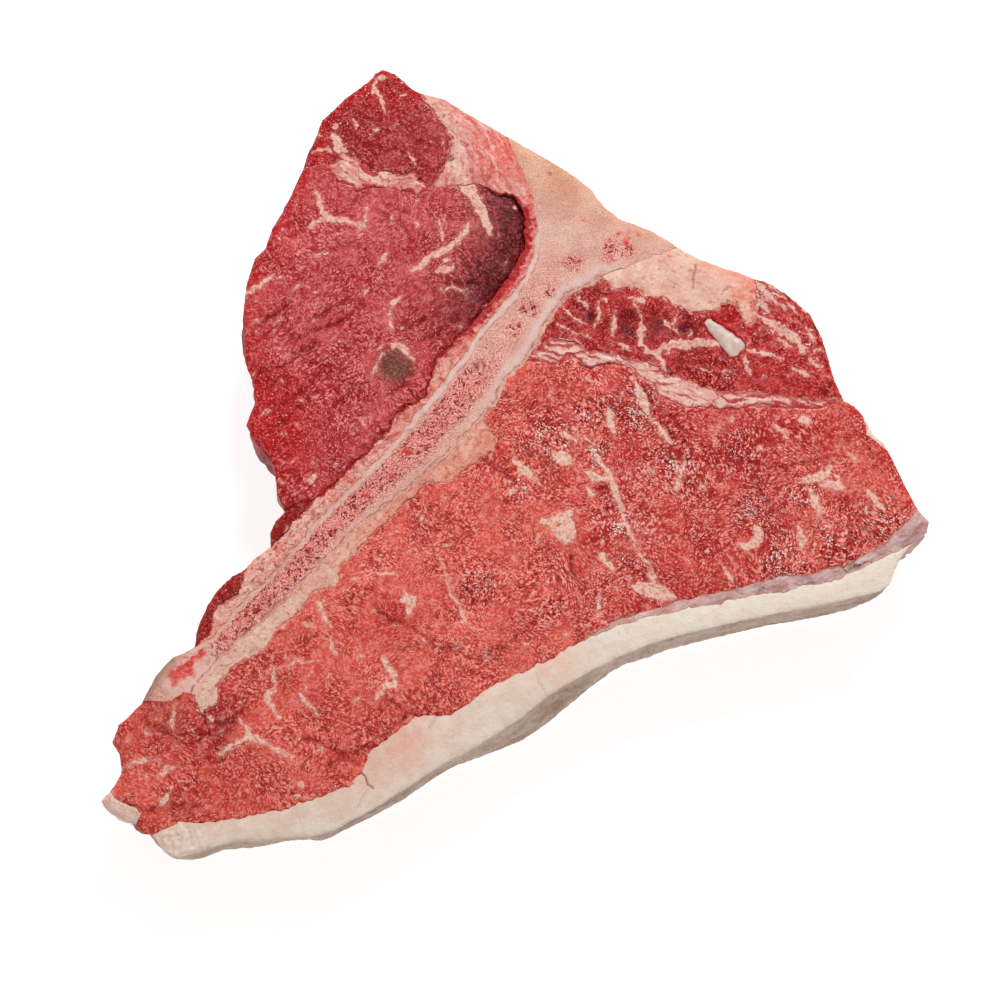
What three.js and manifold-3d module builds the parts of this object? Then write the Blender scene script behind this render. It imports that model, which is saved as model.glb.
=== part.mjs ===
// A raw florentine T-bone steak, lying flat on one cut face.
//
// Millimetres, +Z up. +X runs along the strip loin away from its tail, +Y towards the fillet's tip.
// The steak is cut straight across the loin, so each tissue runs through the whole thickness. The
// tissues share their seams: a seam is named once, and the solids on both sides of it use it.

import * as THREE from 'three';
import { ParametricGeometry } from 'three/addons/geometries/ParametricGeometry.js';
import { mergeVertices } from 'three/addons/utils/BufferGeometryUtils.js';
import Module from 'manifold-3d';

// The thickness between the two cut faces, and the hairline left between two tissues.
const THICKNESS = 34;
const HAIRLINE = 0.3;

// The upper face dips at every seam and swells between the seams.
const SEAM_DIP = 1.1;
const SWELL_REACH = 4;
const MUSCLE_SWELL = 1.1;
const FAT_SWELL = 0.6;
const BONE_SWELL = 0.3;

// Towards the tail the slice gets thinner.
const TAIL_TIP = new THREE.Vector2(-112, -112);
const TAIL_REACH = 95;
const TAIL_THINNING = 5;

// The side walls bulge at mid height and tuck in towards both cut faces, more at the lower one.
const MIDDLE = new THREE.Vector2(0, -15);
const UPPER_TUCK = 0.006;
const LOWER_TUCK = 0.02;
const LOWER_SHIFT = 2;
const WALL_LEVELS = [0.86, 0.14];

// The white ligament in the chine muscle is a tapered round-ended bar in plan.
const LIGAMENT_THIN_END = new THREE.Vector2(56.6, 37.3);
const LIGAMENT_THIN_RADIUS = 2.2;
const LIGAMENT_THICK_END = new THREE.Vector2(63.6, 30.6);
const LIGAMENT_THICK_RADIUS = 3.0;
const LIGAMENT_ARC_STEPS = 5;

// How far the tool that cuts the ligament's slot stands out above the upper face.
const SLOT_HEADROOM = 4;

// Where three tissues meet, or where a seam runs out at the rim.
const meeting = {
  chain_left: [-61.8, 85.2],
  chain_right: [-27.5, 108.7],
  fork: [-24.5, 78.2],
  head_left: [-2, 95.4],
  neck_outer: [0.8, 76.5],
  neck_inner: [5.2, 77],
  arm_end: [47.5, 60.9],
  arm_root: [25.8, 52],
  crest: [70, 51.3],
  notch: [95, 14.6],
  seam_upper: [5.3, 29],
  seam_lower: [3.5, 26],
  scrap_top: [100.5, 10],
  scrap_end: [107.5, -1.3],
  skin_top: [115.3, -18],
  skin_end: [113, -28.3],
  skin_start: [18, -57],
  cap_start: [-101.5, -111.2],
  tail_low: [-106.7, -108.3],
  tail_high: [-113.8, -98.7],
  tip_low: [-105, -73.5],
  tip_inner: [-90.5, -71.5],
  stem_fat: [-9, 9],
  tip_high: [-90.8, -58.3],
  lower_strip: [-76.8, -35.7],
  upper_strip: [-69.3, -29],
  fillet_toe: [-65.2, -18.7],
  fillet_heel: [-57.5, -16],
};

// The rim, clockwise from the chain muscle. A name stands for its meeting point.
const seams = {
  chain_rim: ['chain_left', [-60.5, 90], [-57.5, 96.5], [-56.3, 100.5], [-50, 107], [-43, 112.5],
    [-41, 115.2], [-38.3, 116.3], [-35, 114.8], [-30, 110], 'chain_right'],
  suet_rim: ['chain_right', [-20, 106.8], [-15, 103.6], [-8, 99], 'head_left'],
  head_rim: ['head_left', [5, 91], [12, 86.7], [18, 82.6], [23, 78.3], [26, 73.5], [31, 69.5],
    [40, 66], [44, 63.2], 'arm_end'],
  chine_fat_rim: ['arm_end', [53, 58], [60, 55.1], 'crest'],
  chine_rim: ['crest', [75, 49.5], [80, 45.8], [86, 40.3], [89, 33.5], [91, 25], [92.5, 20.5], 'notch'],
  shoulder_rim: ['notch', [98, 13], 'scrap_top'],
  scrap_rim: ['scrap_top', [103.3, 4], [105.8, 2], 'scrap_end'],
  strip_rim: ['scrap_end', [109.5, -6], [112, -11.5], 'skin_top'],
  skin_rim: ['skin_top', [118.3, -21.5], [117.5, -25], 'skin_end'],
  cap_rim: ['skin_end', [109, -33.5], [106.3, -40.5], [103.5, -42.5], [90, -45.5], [75, -48.5],
    [60, -51.8], [50, -54.2], [40, -57], [30, -61], [20, -66], [10, -72], [0, -80], [-11, -87.3],
    [-20, -92], [-30, -98.7], [-40, -105], [-50, -110.3], [-58, -112.5], [-75, -113.2],
    [-90.5, -116.7], [-95, -118], [-98.3, -116.3], 'cap_start'],
  lobe_rim: ['cap_start', [-104.3, -110.9], 'tail_low'],
  tail_rim: ['tail_low', [-110, -107.7], [-114.7, -104], [-116.1, -101.8], 'tail_high'],
  flank_rim: ['tail_high', [-110.6, -93.3], [-111.3, -88], [-113.7, -84.5], [-112.3, -79.7], 'tip_low'],
  tip_rim: ['tip_low', [-101, -66.7], [-96.5, -61.5], 'tip_high'],
  lower_strip_rim: ['tip_high', [-90, -53.5], [-87, -46], [-84.5, -41.8], [-80.5, -37.6], 'lower_strip'],
  band_rim: ['lower_strip', [-74, -32.5], 'upper_strip'],
  upper_strip_rim: ['upper_strip', [-69.6, -25], [-68.3, -21.7], 'fillet_toe'],
  fillet_rim: ['fillet_toe', [-67.5, -13.5], [-69, -5], [-75, 2.5], [-77, 7], [-74.6, 14],
    [-75.2, 19.3], [-77.6, 26], [-78.7, 38], [-77.8, 50], [-75.5, 57.5], [-72.3, 61], [-71, 66],
    [-65.5, 76], 'chain_left'],
  // Seams inside the steak.
  chain_bed: ['chain_left', [-57, 86], [-52.5, 87], [-50.5, 90], [-46, 88], [-41.5, 83.7],
    [-37, 84.6], [-33.5, 83], [-29.3, 84], 'fork'],
  fillet_top: ['chain_left', [-55, 84.2], [-50, 80.5], [-46, 78.3], [-42, 79.4], [-37, 79.3],
    [-28.5, 77.2], 'fork'],
  chain_side: ['chain_right', [-26, 105.3], [-21, 99.3], [-18.2, 94.3], [-19.5, 87.5], 'fork'],
  fillet_crown: ['fork', [-20, 79.6], [-14, 79.5], [-10.5, 80.3], [-5, 77.8], 'neck_outer'],
  neck: ['neck_outer', 'neck_inner'],
  head_side: ['head_left', [-0.8, 91.5], [2.2, 85], 'neck_inner'],
  stem_left: ['neck_inner', [6.5, 68], [5.3, 58.5], [2.5, 51.5], [-1.5, 45.5], [-11.5, 34],
    [-15, 27.5], [-25.5, 13.5], [-31, 7], [-36.5, -0.5], [-50, -14.7], [-57, -22], [-67, -35.3],
    [-77, -44.8], [-86, -55.5], 'tip_high'],
  fillet_side: ['neck_outer', [3.3, 70], [2.7, 59], [-3.5, 49], [-11, 38.5], [-18.5, 30.3],
    [-22.5, 26.7], [-25.3, 16], [-34, 9.5], [-36, 5.5], [-44.5, -3.5], [-52.5, -12], 'fillet_heel'],
  fillet_foot: ['fillet_heel', [-62, -16.5], 'fillet_toe'],
  upper_strip_side: ['fillet_heel', [-63.5, -22.8], 'upper_strip'],
  lower_strip_side: ['lower_strip', [-78.5, -42.5], [-84.5, -46.3], [-86.3, -54], 'tip_high'],
  stem_right: ['stem_fat', [-20, -3], [-26, -8.7], [-45, -24.2], [-58, -38], [-71, -51], [-83, -61.5],
    'tip_inner'],
  stem_fat_edge: ['stem_fat', [-5, 1.5], [-6, -1], [-19, -10], [-25, -10.8], [-34, -19], [-42, -27],
    [-44.5, -31.2], [-49, -34], [-50.3, -40.7], [-57.5, -42.7], [-62.3, -50], [-66, -51.5],
    [-70.5, -59], [-79, -63.5], [-84, -69], [-83.8, -74], [-88.5, -77.5], 'tip_inner'],
  stem_meat: ['stem_fat', [-4.5, 15], [-2, 20.5], 'seam_lower'],
  seam_root: ['seam_lower', 'seam_upper'],
  chine_side: ['seam_upper', [9.5, 37], [15, 45.5], [21.5, 48.7], 'arm_root'],
  arm_under: ['arm_root', [34, 55.3], 'arm_end'],
  chine_top: ['arm_root', [28.5, 48], [33, 48.2], [36.2, 47.9], [38, 45.6], [43.3, 45.7], [46, 43.3],
    [51, 41], [56.5, 41.3], [62.5, 43.7], [64.8, 42.3], [67, 36.8], [69.5, 38], [70.7, 45.5], 'crest'],
  seam_top: ['seam_upper', [10, 32.8], [17.5, 32.5], [21, 29.3], [30, 27.6], [41.3, 24.8],
    [43.7, 21.3], [47, 21.5], [53, 18.6], [60, 16.7], [75, 16.5], [84, 14.9], 'notch'],
  seam_low: ['seam_lower', [12, 25.2], [16.3, 28], [22, 24], [25.5, 25.6], [33, 25], [36.5, 21],
    [40, 19], [42, 15.5], [50, 12.3], [65, 12.2], [80, 12], [87, 11.2], 'notch'],
  scrap_side: ['scrap_top', [101.2, 4], 'scrap_end'],
  skin_upper: ['skin_start', [29, -50.5], [48, -44.5], [61, -42], [75, -38], [83, -37.3],
    [95, -34.5], [107, -27], 'skin_top'],
  skin_lower: ['skin_start', [32, -51.2], [50, -47.2], [70, -43.2], [90, -39.5], [104, -33], 'skin_end'],
  cap_upper: ['cap_start', [-94, -107.8], [-85, -108], [-65, -105], [-46, -98], [-42.3, -94],
    [-41.5, -89], [-33, -82.5], [-28, -78.5], [-18, -77.8], [-6, -69.5], [6, -64], 'skin_start'],
  tail_side: ['tail_high', [-112, -101.3], [-108.5, -103.4], [-105.3, -105.3], 'tail_low'],
  tip_side: ['tip_low', [-97, -73.8], [-93, -71], 'tip_inner'],
};

// Each tissue lies between two sides that run from one meeting point to another. A side is a list of
// seams, and a minus sign runs a seam backwards. Ties pair places on the two sides, counted in seams.
const tissues = [
  { name: 'bone', colour: 0xc59487, roughness: 0.7, swell: BONE_SWELL, rows: 5,
    left: ['tip_rim', '-stem_left', '-head_side', 'head_rim'],
    right: ['tip_side', '-stem_right', 'stem_meat', 'seam_root', 'chine_side', 'arm_under'],
    ties: [[1, 1.05], [1.75, 2], [2, 4.6], [3, 5], [3.5, 5.25], [3.69, 5.6]] },
  { name: 'fillet', colour: 0xa8434a, roughness: 0.5, swell: MUSCLE_SWELL, rows: 6,
    left: ['fillet_rim'],
    right: ['-fillet_foot', '-fillet_side', '-fillet_crown', '-fillet_top'],
    ties: [[0.1, 1], [0.62, 2], [0.78, 3]] },
  { name: 'chain_muscle', colour: 0x98303a, roughness: 0.5, swell: MUSCLE_SWELL, rows: 5,
    left: ['chain_rim'],
    right: ['chain_bed', '-chain_side'],
    ties: [[0.62, 1]] },
  { name: 'fillet_seam_fat', colour: 0xd9a08a, roughness: 0.6, swell: FAT_SWELL, rows: 3,
    left: ['chain_bed'], right: ['fillet_top'], ties: [] },
  { name: 'suet', colour: 0xd98f7c, roughness: 0.6, swell: FAT_SWELL, rows: 5,
    left: ['suet_rim', 'head_side'],
    right: ['chain_side', 'fillet_crown', 'neck'],
    ties: [[1, 1.3]] },
  { name: 'bone_band_fat', colour: 0xd99a82, roughness: 0.6, swell: FAT_SWELL, rows: 3,
    left: ['-lower_strip_side', 'band_rim', '-upper_strip_side', '-fillet_side', 'neck'],
    right: ['-stem_left'],
    ties: [[1, 0.16], [2, 0.21], [3, 0.31]] },
  { name: 'upper_side_meat', colour: 0x8f2b30, roughness: 0.5, swell: FAT_SWELL, rows: 3,
    left: ['upper_strip_rim', '-fillet_foot'], right: ['-upper_strip_side'], ties: [] },
  { name: 'lower_side_meat', colour: 0xa93230, roughness: 0.5, swell: FAT_SWELL, rows: 3,
    left: ['lower_strip_rim'], right: ['-lower_strip_side'], ties: [] },
  { name: 'stem_fat', colour: 0xdcb096, roughness: 0.6, swell: FAT_SWELL, rows: 3,
    left: ['-stem_right'], right: ['-stem_fat_edge'],
    ties: [[0.03, 0.09], [0.06, 0.125], [0.12, 0.19]] },
  { name: 'strip_loin', colour: 0xb8443f, roughness: 0.5, swell: MUSCLE_SWELL, rows: 7,
    left: ['-tail_side', 'flank_rim', 'tip_side', '-stem_fat_edge', 'stem_meat', 'seam_low',
      'shoulder_rim', 'scrap_side', 'strip_rim'],
    right: ['-lobe_rim', 'cap_upper', 'skin_upper'],
    ties: [[0.22, 0.9], [0.47, 1.06], [1, 1.08], [2, 1.1], [3, 1.12], [3.09, 1.2], [3.32, 1.35],
      [3.59, 1.58], [4, 2.12], [5, 2.27], [6, 2.78], [7, 2.82], [8, 2.92]] },
  { name: 'chine_muscle', colour: 0xa0343a, roughness: 0.5, swell: MUSCLE_SWELL, rows: 5,
    left: ['chine_side', 'chine_top', 'chine_rim'],
    right: ['seam_top'],
    ties: [[1, 0.28], [2, 0.75]] },
  { name: 'chine_fat', colour: 0xdfb99f, roughness: 0.6, swell: FAT_SWELL, rows: 4,
    left: ['arm_under', 'chine_fat_rim'], right: ['chine_top'],
    ties: [[1, 0.45], [1.35, 0.63], [1.6, 0.67], [1.88, 0.8]] },
  { name: 'seam_fat', colour: 0xe0b2a4, roughness: 0.6, swell: FAT_SWELL, rows: 3,
    left: ['seam_root', 'seam_top'], right: ['seam_low'], ties: [] },
  { name: 'edge_scrap_fat', colour: 0xd8a08a, roughness: 0.6, swell: FAT_SWELL, rows: 2,
    left: ['scrap_rim'], right: ['scrap_side'], ties: [] },
  { name: 'silver_skin', colour: 0xa9807c, roughness: 0.45, swell: FAT_SWELL, rows: 3,
    left: ['skin_upper'], right: ['skin_lower', '-skin_rim'], ties: [] },
  { name: 'fat_cap', colour: 0xe2cdb9, roughness: 0.55, swell: FAT_SWELL, rows: 4,
    left: ['cap_upper', 'skin_lower'], right: ['-cap_rim'], ties: [[1, 0.55]] },
  { name: 'tail_fat', colour: 0xdcbfa4, roughness: 0.6, swell: FAT_SWELL, rows: 3,
    left: ['-tail_rim'], right: ['tail_side'], ties: [] },
];

// The points of one side, and how far along it each of its seams ends.
function trace(seamNames) {
  const points = [];
  const marks = [0];
  let length = 0;
  for (const seamName of seamNames) {
    const backwards = seamName.startsWith('-');
    const stored = seams[backwards ? seamName.slice(1) : seamName];
    const places = stored.map((entry) => new THREE.Vector2(...(meeting[entry] ?? entry)));
    if (backwards) places.reverse();
    for (const place of places) {
      const last = points.at(-1);
      if (last && last.distanceTo(place) < 1e-6) continue;
      if (last) length += last.distanceTo(place);
      points.push(place);
    }
    marks.push(length);
  }
  return { points, marks };
}

// Moves every corner of a closed outline inwards, so that each edge shifts by the same amount.
function inset(outline, amount) {
  const turn = THREE.ShapeUtils.area(outline) > 0 ? 1 : -1;
  const longest = 8 * amount;
  return outline.map((corner, index) => {
    const before = outline.at(index - 1);
    const after = outline[(index + 1) % outline.length];
    const arriving = corner.clone().sub(before).normalize();
    const leaving = after.clone().sub(corner).normalize();
    const normalIn = new THREE.Vector2(-arriving.y, arriving.x).multiplyScalar(turn);
    const normalOut = new THREE.Vector2(-leaving.y, leaving.x).multiplyScalar(turn);
    const bisector = normalIn.clone().add(normalOut).normalize();
    const reach = Math.min(longest, amount / Math.max(0.05, bisector.dot(normalIn)));
    return corner.clone().addScaledVector(bisector, reach);
  });
}

// How far along the tissue each point of a side counts, from 0 to 1, led by the ties.
function phases(side, ownTies, otherTies, otherMarks) {
  const place = (marks, tie) => {
    const whole = Math.min(Math.floor(tie), marks.length - 2);
    return THREE.MathUtils.lerp(marks[whole], marks[whole + 1], tie - whole) / marks.at(-1);
  };
  const own = [0, ...ownTies.map((tie) => place(side.marks, tie)), 1];
  const other = [0, ...otherTies.map((tie) => place(otherMarks, tie)), 1];
  const shared = own.map((value, index) => (value + other[index]) / 2);
  let length = 0;
  return side.points.map((point, index) => {
    if (index > 0) length += point.distanceTo(side.points[index - 1]);
    const along = Math.min(1, length / side.marks.at(-1));
    const span = Math.min(own.findLastIndex((value) => value <= along + 1e-9), own.length - 2);
    return THREE.MathUtils.mapLinear(along, own[span], own[span + 1], shared[span], shared[span + 1]);
  });
}

// A corner takes the phase of a corner across from it where the two nearly face each other.
function pairCorners(leftPhases, rightPhases) {
  let used = 0;
  return rightPhases.map((phase, index) => {
    if (index === 0 || index === rightPhases.length - 1) return phase;
    const before = rightPhases[index - 1];
    const after = rightPhases[index + 1];
    const reach = 0.45 * Math.min(phase - before, after - phase);
    for (let other = used + 1; other < leftPhases.length - 1; other += 1) {
      if (Math.abs(leftPhases[other] - phase) < reach) {
        used = other;
        return leftPhases[other];
      }
    }
    return phase;
  });
}

// The place on a side at a given phase.
function along(points, sidePhases, phase) {
  const last = sidePhases.findLastIndex((value) => value <= phase + 1e-9);
  const start = Math.min(Math.max(last, 0), points.length - 2);
  const part = (phase - sidePhases[start]) / (sidePhases[start + 1] - sidePhases[start]);
  return points[start].clone().lerp(points[start + 1], THREE.MathUtils.clamp(part, 0, 1));
}

// The height of the upper face at a place, before its own swell.
function faceHeight(place) {
  const near = 1 - THREE.MathUtils.smoothstep(place.distanceTo(TAIL_TIP), 0, TAIL_REACH);
  return THICKNESS - TAIL_THINNING * near;
}

// Tucks a point of the steak in towards the middle, by its height.
function tuck(place, height) {
  const level = height / THICKNESS;
  const towardsTop = THREE.MathUtils.smoothstep(level, 0.6, 1);
  const towardsBottom = 1 - THREE.MathUtils.smoothstep(level, 0, 0.6);
  const scale = 1 - UPPER_TUCK * towardsTop - LOWER_TUCK * towardsBottom;
  const x = MIDDLE.x + (place.x - MIDDLE.x) * scale;
  const y = MIDDLE.y + (place.y - MIDDLE.y) * scale + LOWER_SHIFT * (1 - level);
  return new THREE.Vector3(x, y, height);
}

// One closed solid between two sides: a loop round the section, carried along the tissue.
function slab(leftPoints, rightPoints, leftPhases, rightPhases, rows, swell, dip) {
  const stations = [...new Set([...leftPhases, ...rightPhases].map((value) => value.toFixed(5)))]
    .map(Number)
    .sort((a, b) => a - b);
  const steps = WALL_LEVELS.length + 1;
  const loopCount = rows + 2 * steps + 1;

  const sectionPoint = (station, loopIndex, target) => {
    const left = along(leftPoints, leftPhases, stations[station]);
    const right = along(rightPoints, rightPhases, stations[station]);
    const width = left.distanceTo(right);
    const index = loopIndex % loopCount;
    const edge = (place) => faceHeight(place) - dip;
    if (index <= rows) {
      const part = (1 - Math.cos((Math.PI * index) / rows)) / 2;
      const place = left.clone().lerp(right, part);
      const inside = Math.min(part, 1 - part) * width;
      const rise = (swell + dip) * (1 - Math.exp(-inside / SWELL_REACH));
      return target.copy(tuck(place, edge(place) + rise));
    }
    const down = index <= rows + steps;
    const place = down ? right : left;
    const level = down ? index - rows : loopCount - index;
    const height = level === steps ? 0 : WALL_LEVELS[level - 1] * THICKNESS;
    return target.copy(tuck(place, height));
  };

  const surface = (across, lengthwise, target) => sectionPoint(
    Math.round(lengthwise * (stations.length - 1)),
    Math.round(across * loopCount),
    target,
  );
  const open = new ParametricGeometry(surface, loopCount, stations.length - 1);
  open.setIndex(splitCells(open.getAttribute('position'), loopCount, stations.length - 1));
  return closeUp(open);
}

// Splits each cell of the grid along the diagonal that keeps its two halves facing the same way.
function splitCells(position, across, lengthwise) {
  const corner = (index) => new THREE.Vector3().fromBufferAttribute(position, index);
  const facing = (a, b, c) => {
    const origin = corner(a);
    return corner(b).sub(origin).cross(corner(c).sub(origin));
  };
  const index = [];
  for (let row = 0; row < lengthwise; row += 1) {
    for (let column = 0; column < across; column += 1) {
      const a = row * (across + 1) + column;
      const b = a + 1;
      const d = a + across + 1;
      const c = d + 1;
      const straight = facing(a, b, c).dot(facing(a, c, d));
      const swapped = facing(a, b, d).dot(facing(b, c, d));
      index.push(...(straight >= swapped ? [a, b, c, a, c, d] : [a, b, d, b, c, d]));
    }
  }
  return index;
}

// Joins the doubled points, drops the triangles that shut up at the two ends, and turns it outwards.
function closeUp(open) {
  open.deleteAttribute('normal');
  open.deleteAttribute('uv');
  const merged = mergeVertices(open, 1e-3);
  const position = merged.getAttribute('position');
  const index = Array.from(merged.getIndex().array);
  const kept = [];
  let volume = 0;
  for (let first = 0; first < index.length; first += 3) {
    const [a, b, c] = index.slice(first, first + 3);
    if (a === b || b === c || c === a) continue;
    kept.push(a, b, c);
    const [p, q, r] = [a, b, c].map((corner) => new THREE.Vector3().fromBufferAttribute(position, corner));
    volume += p.dot(q.cross(r)) / 6;
  }
  merged.setIndex(volume > 0 ? kept : kept.reverse());
  return merged;
}

// The slab of one tissue, drawn back from its seams by half a hairline.
function tissueGeometry({ left, right, ties, rows, swell }) {
  const leftSide = trace(left);
  const rightSide = trace(right);
  const leftTies = ties.map((tie) => tie[0]);
  const rightTies = ties.map((tie) => tie[1]);
  const leftPhases = phases(leftSide, leftTies, rightTies, rightSide.marks);
  const rightPhases = pairCorners(leftPhases, phases(rightSide, rightTies, leftTies, leftSide.marks));
  const outline = [...leftSide.points, ...rightSide.points.slice(1, -1).reverse()];
  const drawn = inset(outline, HAIRLINE / 2);
  const leftDrawn = drawn.slice(0, leftSide.points.length);
  const rightDrawn = [drawn[0], ...drawn.slice(leftSide.points.length).reverse(), leftDrawn.at(-1)];
  return slab(leftDrawn, rightDrawn, leftPhases, rightPhases, rows, swell, SEAM_DIP);
}

// One long side of the ligament's outline, from the thin end's tip to the thick end's tip.
function ligamentSide(hand, extra) {
  const axis = LIGAMENT_THICK_END.clone().sub(LIGAMENT_THIN_END);
  const heading = axis.angle();
  const arc = (centre, radius, from, to) => {
    const curve = new THREE.EllipseCurve(centre.x, centre.y, radius, radius, from, to, to < from);
    return curve.getPoints(LIGAMENT_ARC_STEPS);
  };
  const side = heading + (hand * Math.PI) / 2;
  return [
    ...arc(LIGAMENT_THIN_END, LIGAMENT_THIN_RADIUS + extra, heading + hand * Math.PI, side),
    ...arc(LIGAMENT_THICK_END, LIGAMENT_THICK_RADIUS + extra, side, heading),
  ];
}

function ligamentGeometry(extra, dip) {
  const left = ligamentSide(1, extra);
  const right = ligamentSide(-1, extra);
  const even = left.map((point, index) => index / (left.length - 1));
  return slab(left, right, even, even, 2, FAT_SWELL, dip);
}

// Cuts one closed solid out of another.
function cutOut(wasm, solid, tool) {
  const toManifold = (geometry) => new wasm.Manifold(new wasm.Mesh({
    numProp: 3,
    vertProperties: new Float32Array(geometry.getAttribute('position').array),
    triVerts: new Uint32Array(geometry.getIndex().array),
  }));
  const mesh = toManifold(solid).subtract(toManifold(tool)).getMesh();
  const geometry = new THREE.BufferGeometry();
  geometry.setAttribute('position', new THREE.BufferAttribute(new Float32Array(mesh.vertProperties), 3));
  geometry.setIndex(new THREE.BufferAttribute(new Uint32Array(mesh.triVerts), 1));
  return geometry;
}

const wasm = await Module();
wasm.setup();

const group = new THREE.Group();

function addPiece(name, geometry, color, roughness) {
  const material = new THREE.MeshStandardMaterial({ color, roughness, metalness: 0 });
  const mesh = new THREE.Mesh(geometry, material);
  mesh.name = name;
  group.add(mesh);
}

for (const tissue of tissues) {
  let geometry = tissueGeometry(tissue);
  if (tissue.name === 'chine_muscle') {
    const slot = ligamentGeometry(HAIRLINE, -SLOT_HEADROOM);
    geometry = cutOut(wasm, geometry, slot);
  }
  addPiece(tissue.name, geometry, tissue.colour, tissue.roughness);
}
addPiece('ligament', ligamentGeometry(0, 0), 0xd9cfc6, 0.5);

// The origin is under the middle of the steak, on the face that it lies on.
const box = new THREE.Box3().setFromObject(group);
const centre = box.getCenter(new THREE.Vector3());
group.position.set(-centre.x, -centre.y, -box.min.z);
group.updateMatrixWorld(true);

export default group;
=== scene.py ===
"""A raw florentine T-bone steak, seen from above, on a plain pale floor."""

import bpy
import numpy as np
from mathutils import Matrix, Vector


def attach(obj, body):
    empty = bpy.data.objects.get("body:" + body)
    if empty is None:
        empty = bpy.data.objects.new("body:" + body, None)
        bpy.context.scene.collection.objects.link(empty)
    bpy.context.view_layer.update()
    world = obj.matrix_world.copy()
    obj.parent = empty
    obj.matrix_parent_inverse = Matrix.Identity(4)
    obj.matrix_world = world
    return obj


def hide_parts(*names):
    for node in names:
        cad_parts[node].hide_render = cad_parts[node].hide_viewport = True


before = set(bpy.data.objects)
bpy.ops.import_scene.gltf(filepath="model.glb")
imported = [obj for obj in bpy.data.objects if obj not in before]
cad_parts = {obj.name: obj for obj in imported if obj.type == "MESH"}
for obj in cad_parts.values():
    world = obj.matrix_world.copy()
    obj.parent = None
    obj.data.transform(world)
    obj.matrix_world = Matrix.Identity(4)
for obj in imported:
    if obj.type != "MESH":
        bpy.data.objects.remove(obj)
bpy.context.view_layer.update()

# The view
# The photograph looks down steeply from the side of the fat cap, with a long lens. The plan's own zero
# lies a little beside the frame's, and PLAN_ZERO says where, in millimetres.
PLAN_ZERO = np.array([-1.062, 0.635])
THICKNESS = 34.0
AIM = Vector(((-4.1 + PLAN_ZERO[0]) / 1000, (-15.5 + PLAN_ZERO[1]) / 1000, THICKNESS / 1000))
CAMERA_DISTANCE = 1.0
CAMERA_ELEVATION = np.radians(75)

lens = bpy.data.cameras.new("camera")
lens.sensor_width = 36
lens.lens = 126.4
lens.clip_start = 0.05
camera = bpy.data.objects.new("camera", lens)
bpy.context.scene.collection.objects.link(camera)
towards_camera = Vector((0, -np.cos(CAMERA_ELEVATION), np.sin(CAMERA_ELEVATION)))
camera.location = AIM + CAMERA_DISTANCE * towards_camera
camera.rotation_euler = towards_camera.to_track_quat("Z", "Y").to_euler()
bpy.context.scene.camera = camera

# The floor and the light
# A pale sheet that glows a little, so that shadows on it stay faint, in an even white surround. One
# soft lamp stands high on the far side, and its reflection makes small glints on the wet meat, beside
# the white glints that are painted into the meat's colour.
FLOOR_REACH = 3.0
floor_mesh = bpy.data.meshes.new("floor")
floor_mesh.from_pydata(
    [(-FLOOR_REACH, -FLOOR_REACH, 0), (FLOOR_REACH, -FLOOR_REACH, 0),
     (FLOOR_REACH, FLOOR_REACH, 0), (-FLOOR_REACH, FLOOR_REACH, 0)], [], [(0, 1, 2, 3)])
floor = bpy.data.objects.new("floor", floor_mesh)
bpy.context.scene.collection.objects.link(floor)
floor_paint = bpy.data.materials.new("floor_paint")
floor_paint.use_nodes = True
floor_shader = floor_paint.node_tree.nodes["Principled BSDF"]
floor_shader.inputs["Base Color"].default_value = (0.5, 0.5, 0.5, 1)
floor_shader.inputs["Roughness"].default_value = 1.0
floor_shader.inputs["Specular IOR Level"].default_value = 0.0
floor_shader.inputs["Emission Color"].default_value = (1, 1, 1, 1)
floor_shader.inputs["Emission Strength"].default_value = 0.8
floor_mesh.materials.append(floor_paint)

surround = bpy.data.worlds.new("surround")
surround.use_nodes = True
surround.node_tree.nodes["Background"].inputs["Color"].default_value = (1, 1, 1, 1)
surround.node_tree.nodes["Background"].inputs["Strength"].default_value = 0.42
bpy.context.scene.world = surround

lamp_light = bpy.data.lights.new("soft_lamp", "AREA")
lamp_light.shape = "RECTANGLE"
lamp_light.size = 0.4
lamp_light.size_y = 0.3
lamp_light.energy = 12
lamp = bpy.data.objects.new("soft_lamp", lamp_light)
bpy.context.scene.collection.objects.link(lamp)
lamp.location = (0.25, 0.85, 1.15)
lamp.rotation_euler = (lamp.location - Vector((0, 0, 0.02))).to_track_quat("Z", "Y").to_euler()
bpy.context.scene.view_settings.view_transform = "Standard"

# The bone
# A sawn vertebra in the shape of a T: a porous stem, a smooth tan head and a short arm. The saw went
# through it with the meat, so it is one flat-faced piece through the whole slice.
MIDDLE = np.array([0.0, -15.0])
UPPER_TUCK = 0.002
LOWER_TUCK = 0.02
LOWER_SHIFT = 3.0
FOOT_BULGE = 5.6
FOOT_BULGE_PLACE = (9.0, -76.0)
FOOT_BULGE_REACH = 32.0
TAIL_TIP = np.array([-112.0, -112.0])
TAIL_REACH = 95.0
TAIL_THINNING = 5.0
WALL_LEVELS = np.concatenate([[0.985], np.linspace(0.955, 0.045, 22), [0.015]])
SEAM_DRIFT = 1.3
CORNER_ROUNDS = 90

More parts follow.
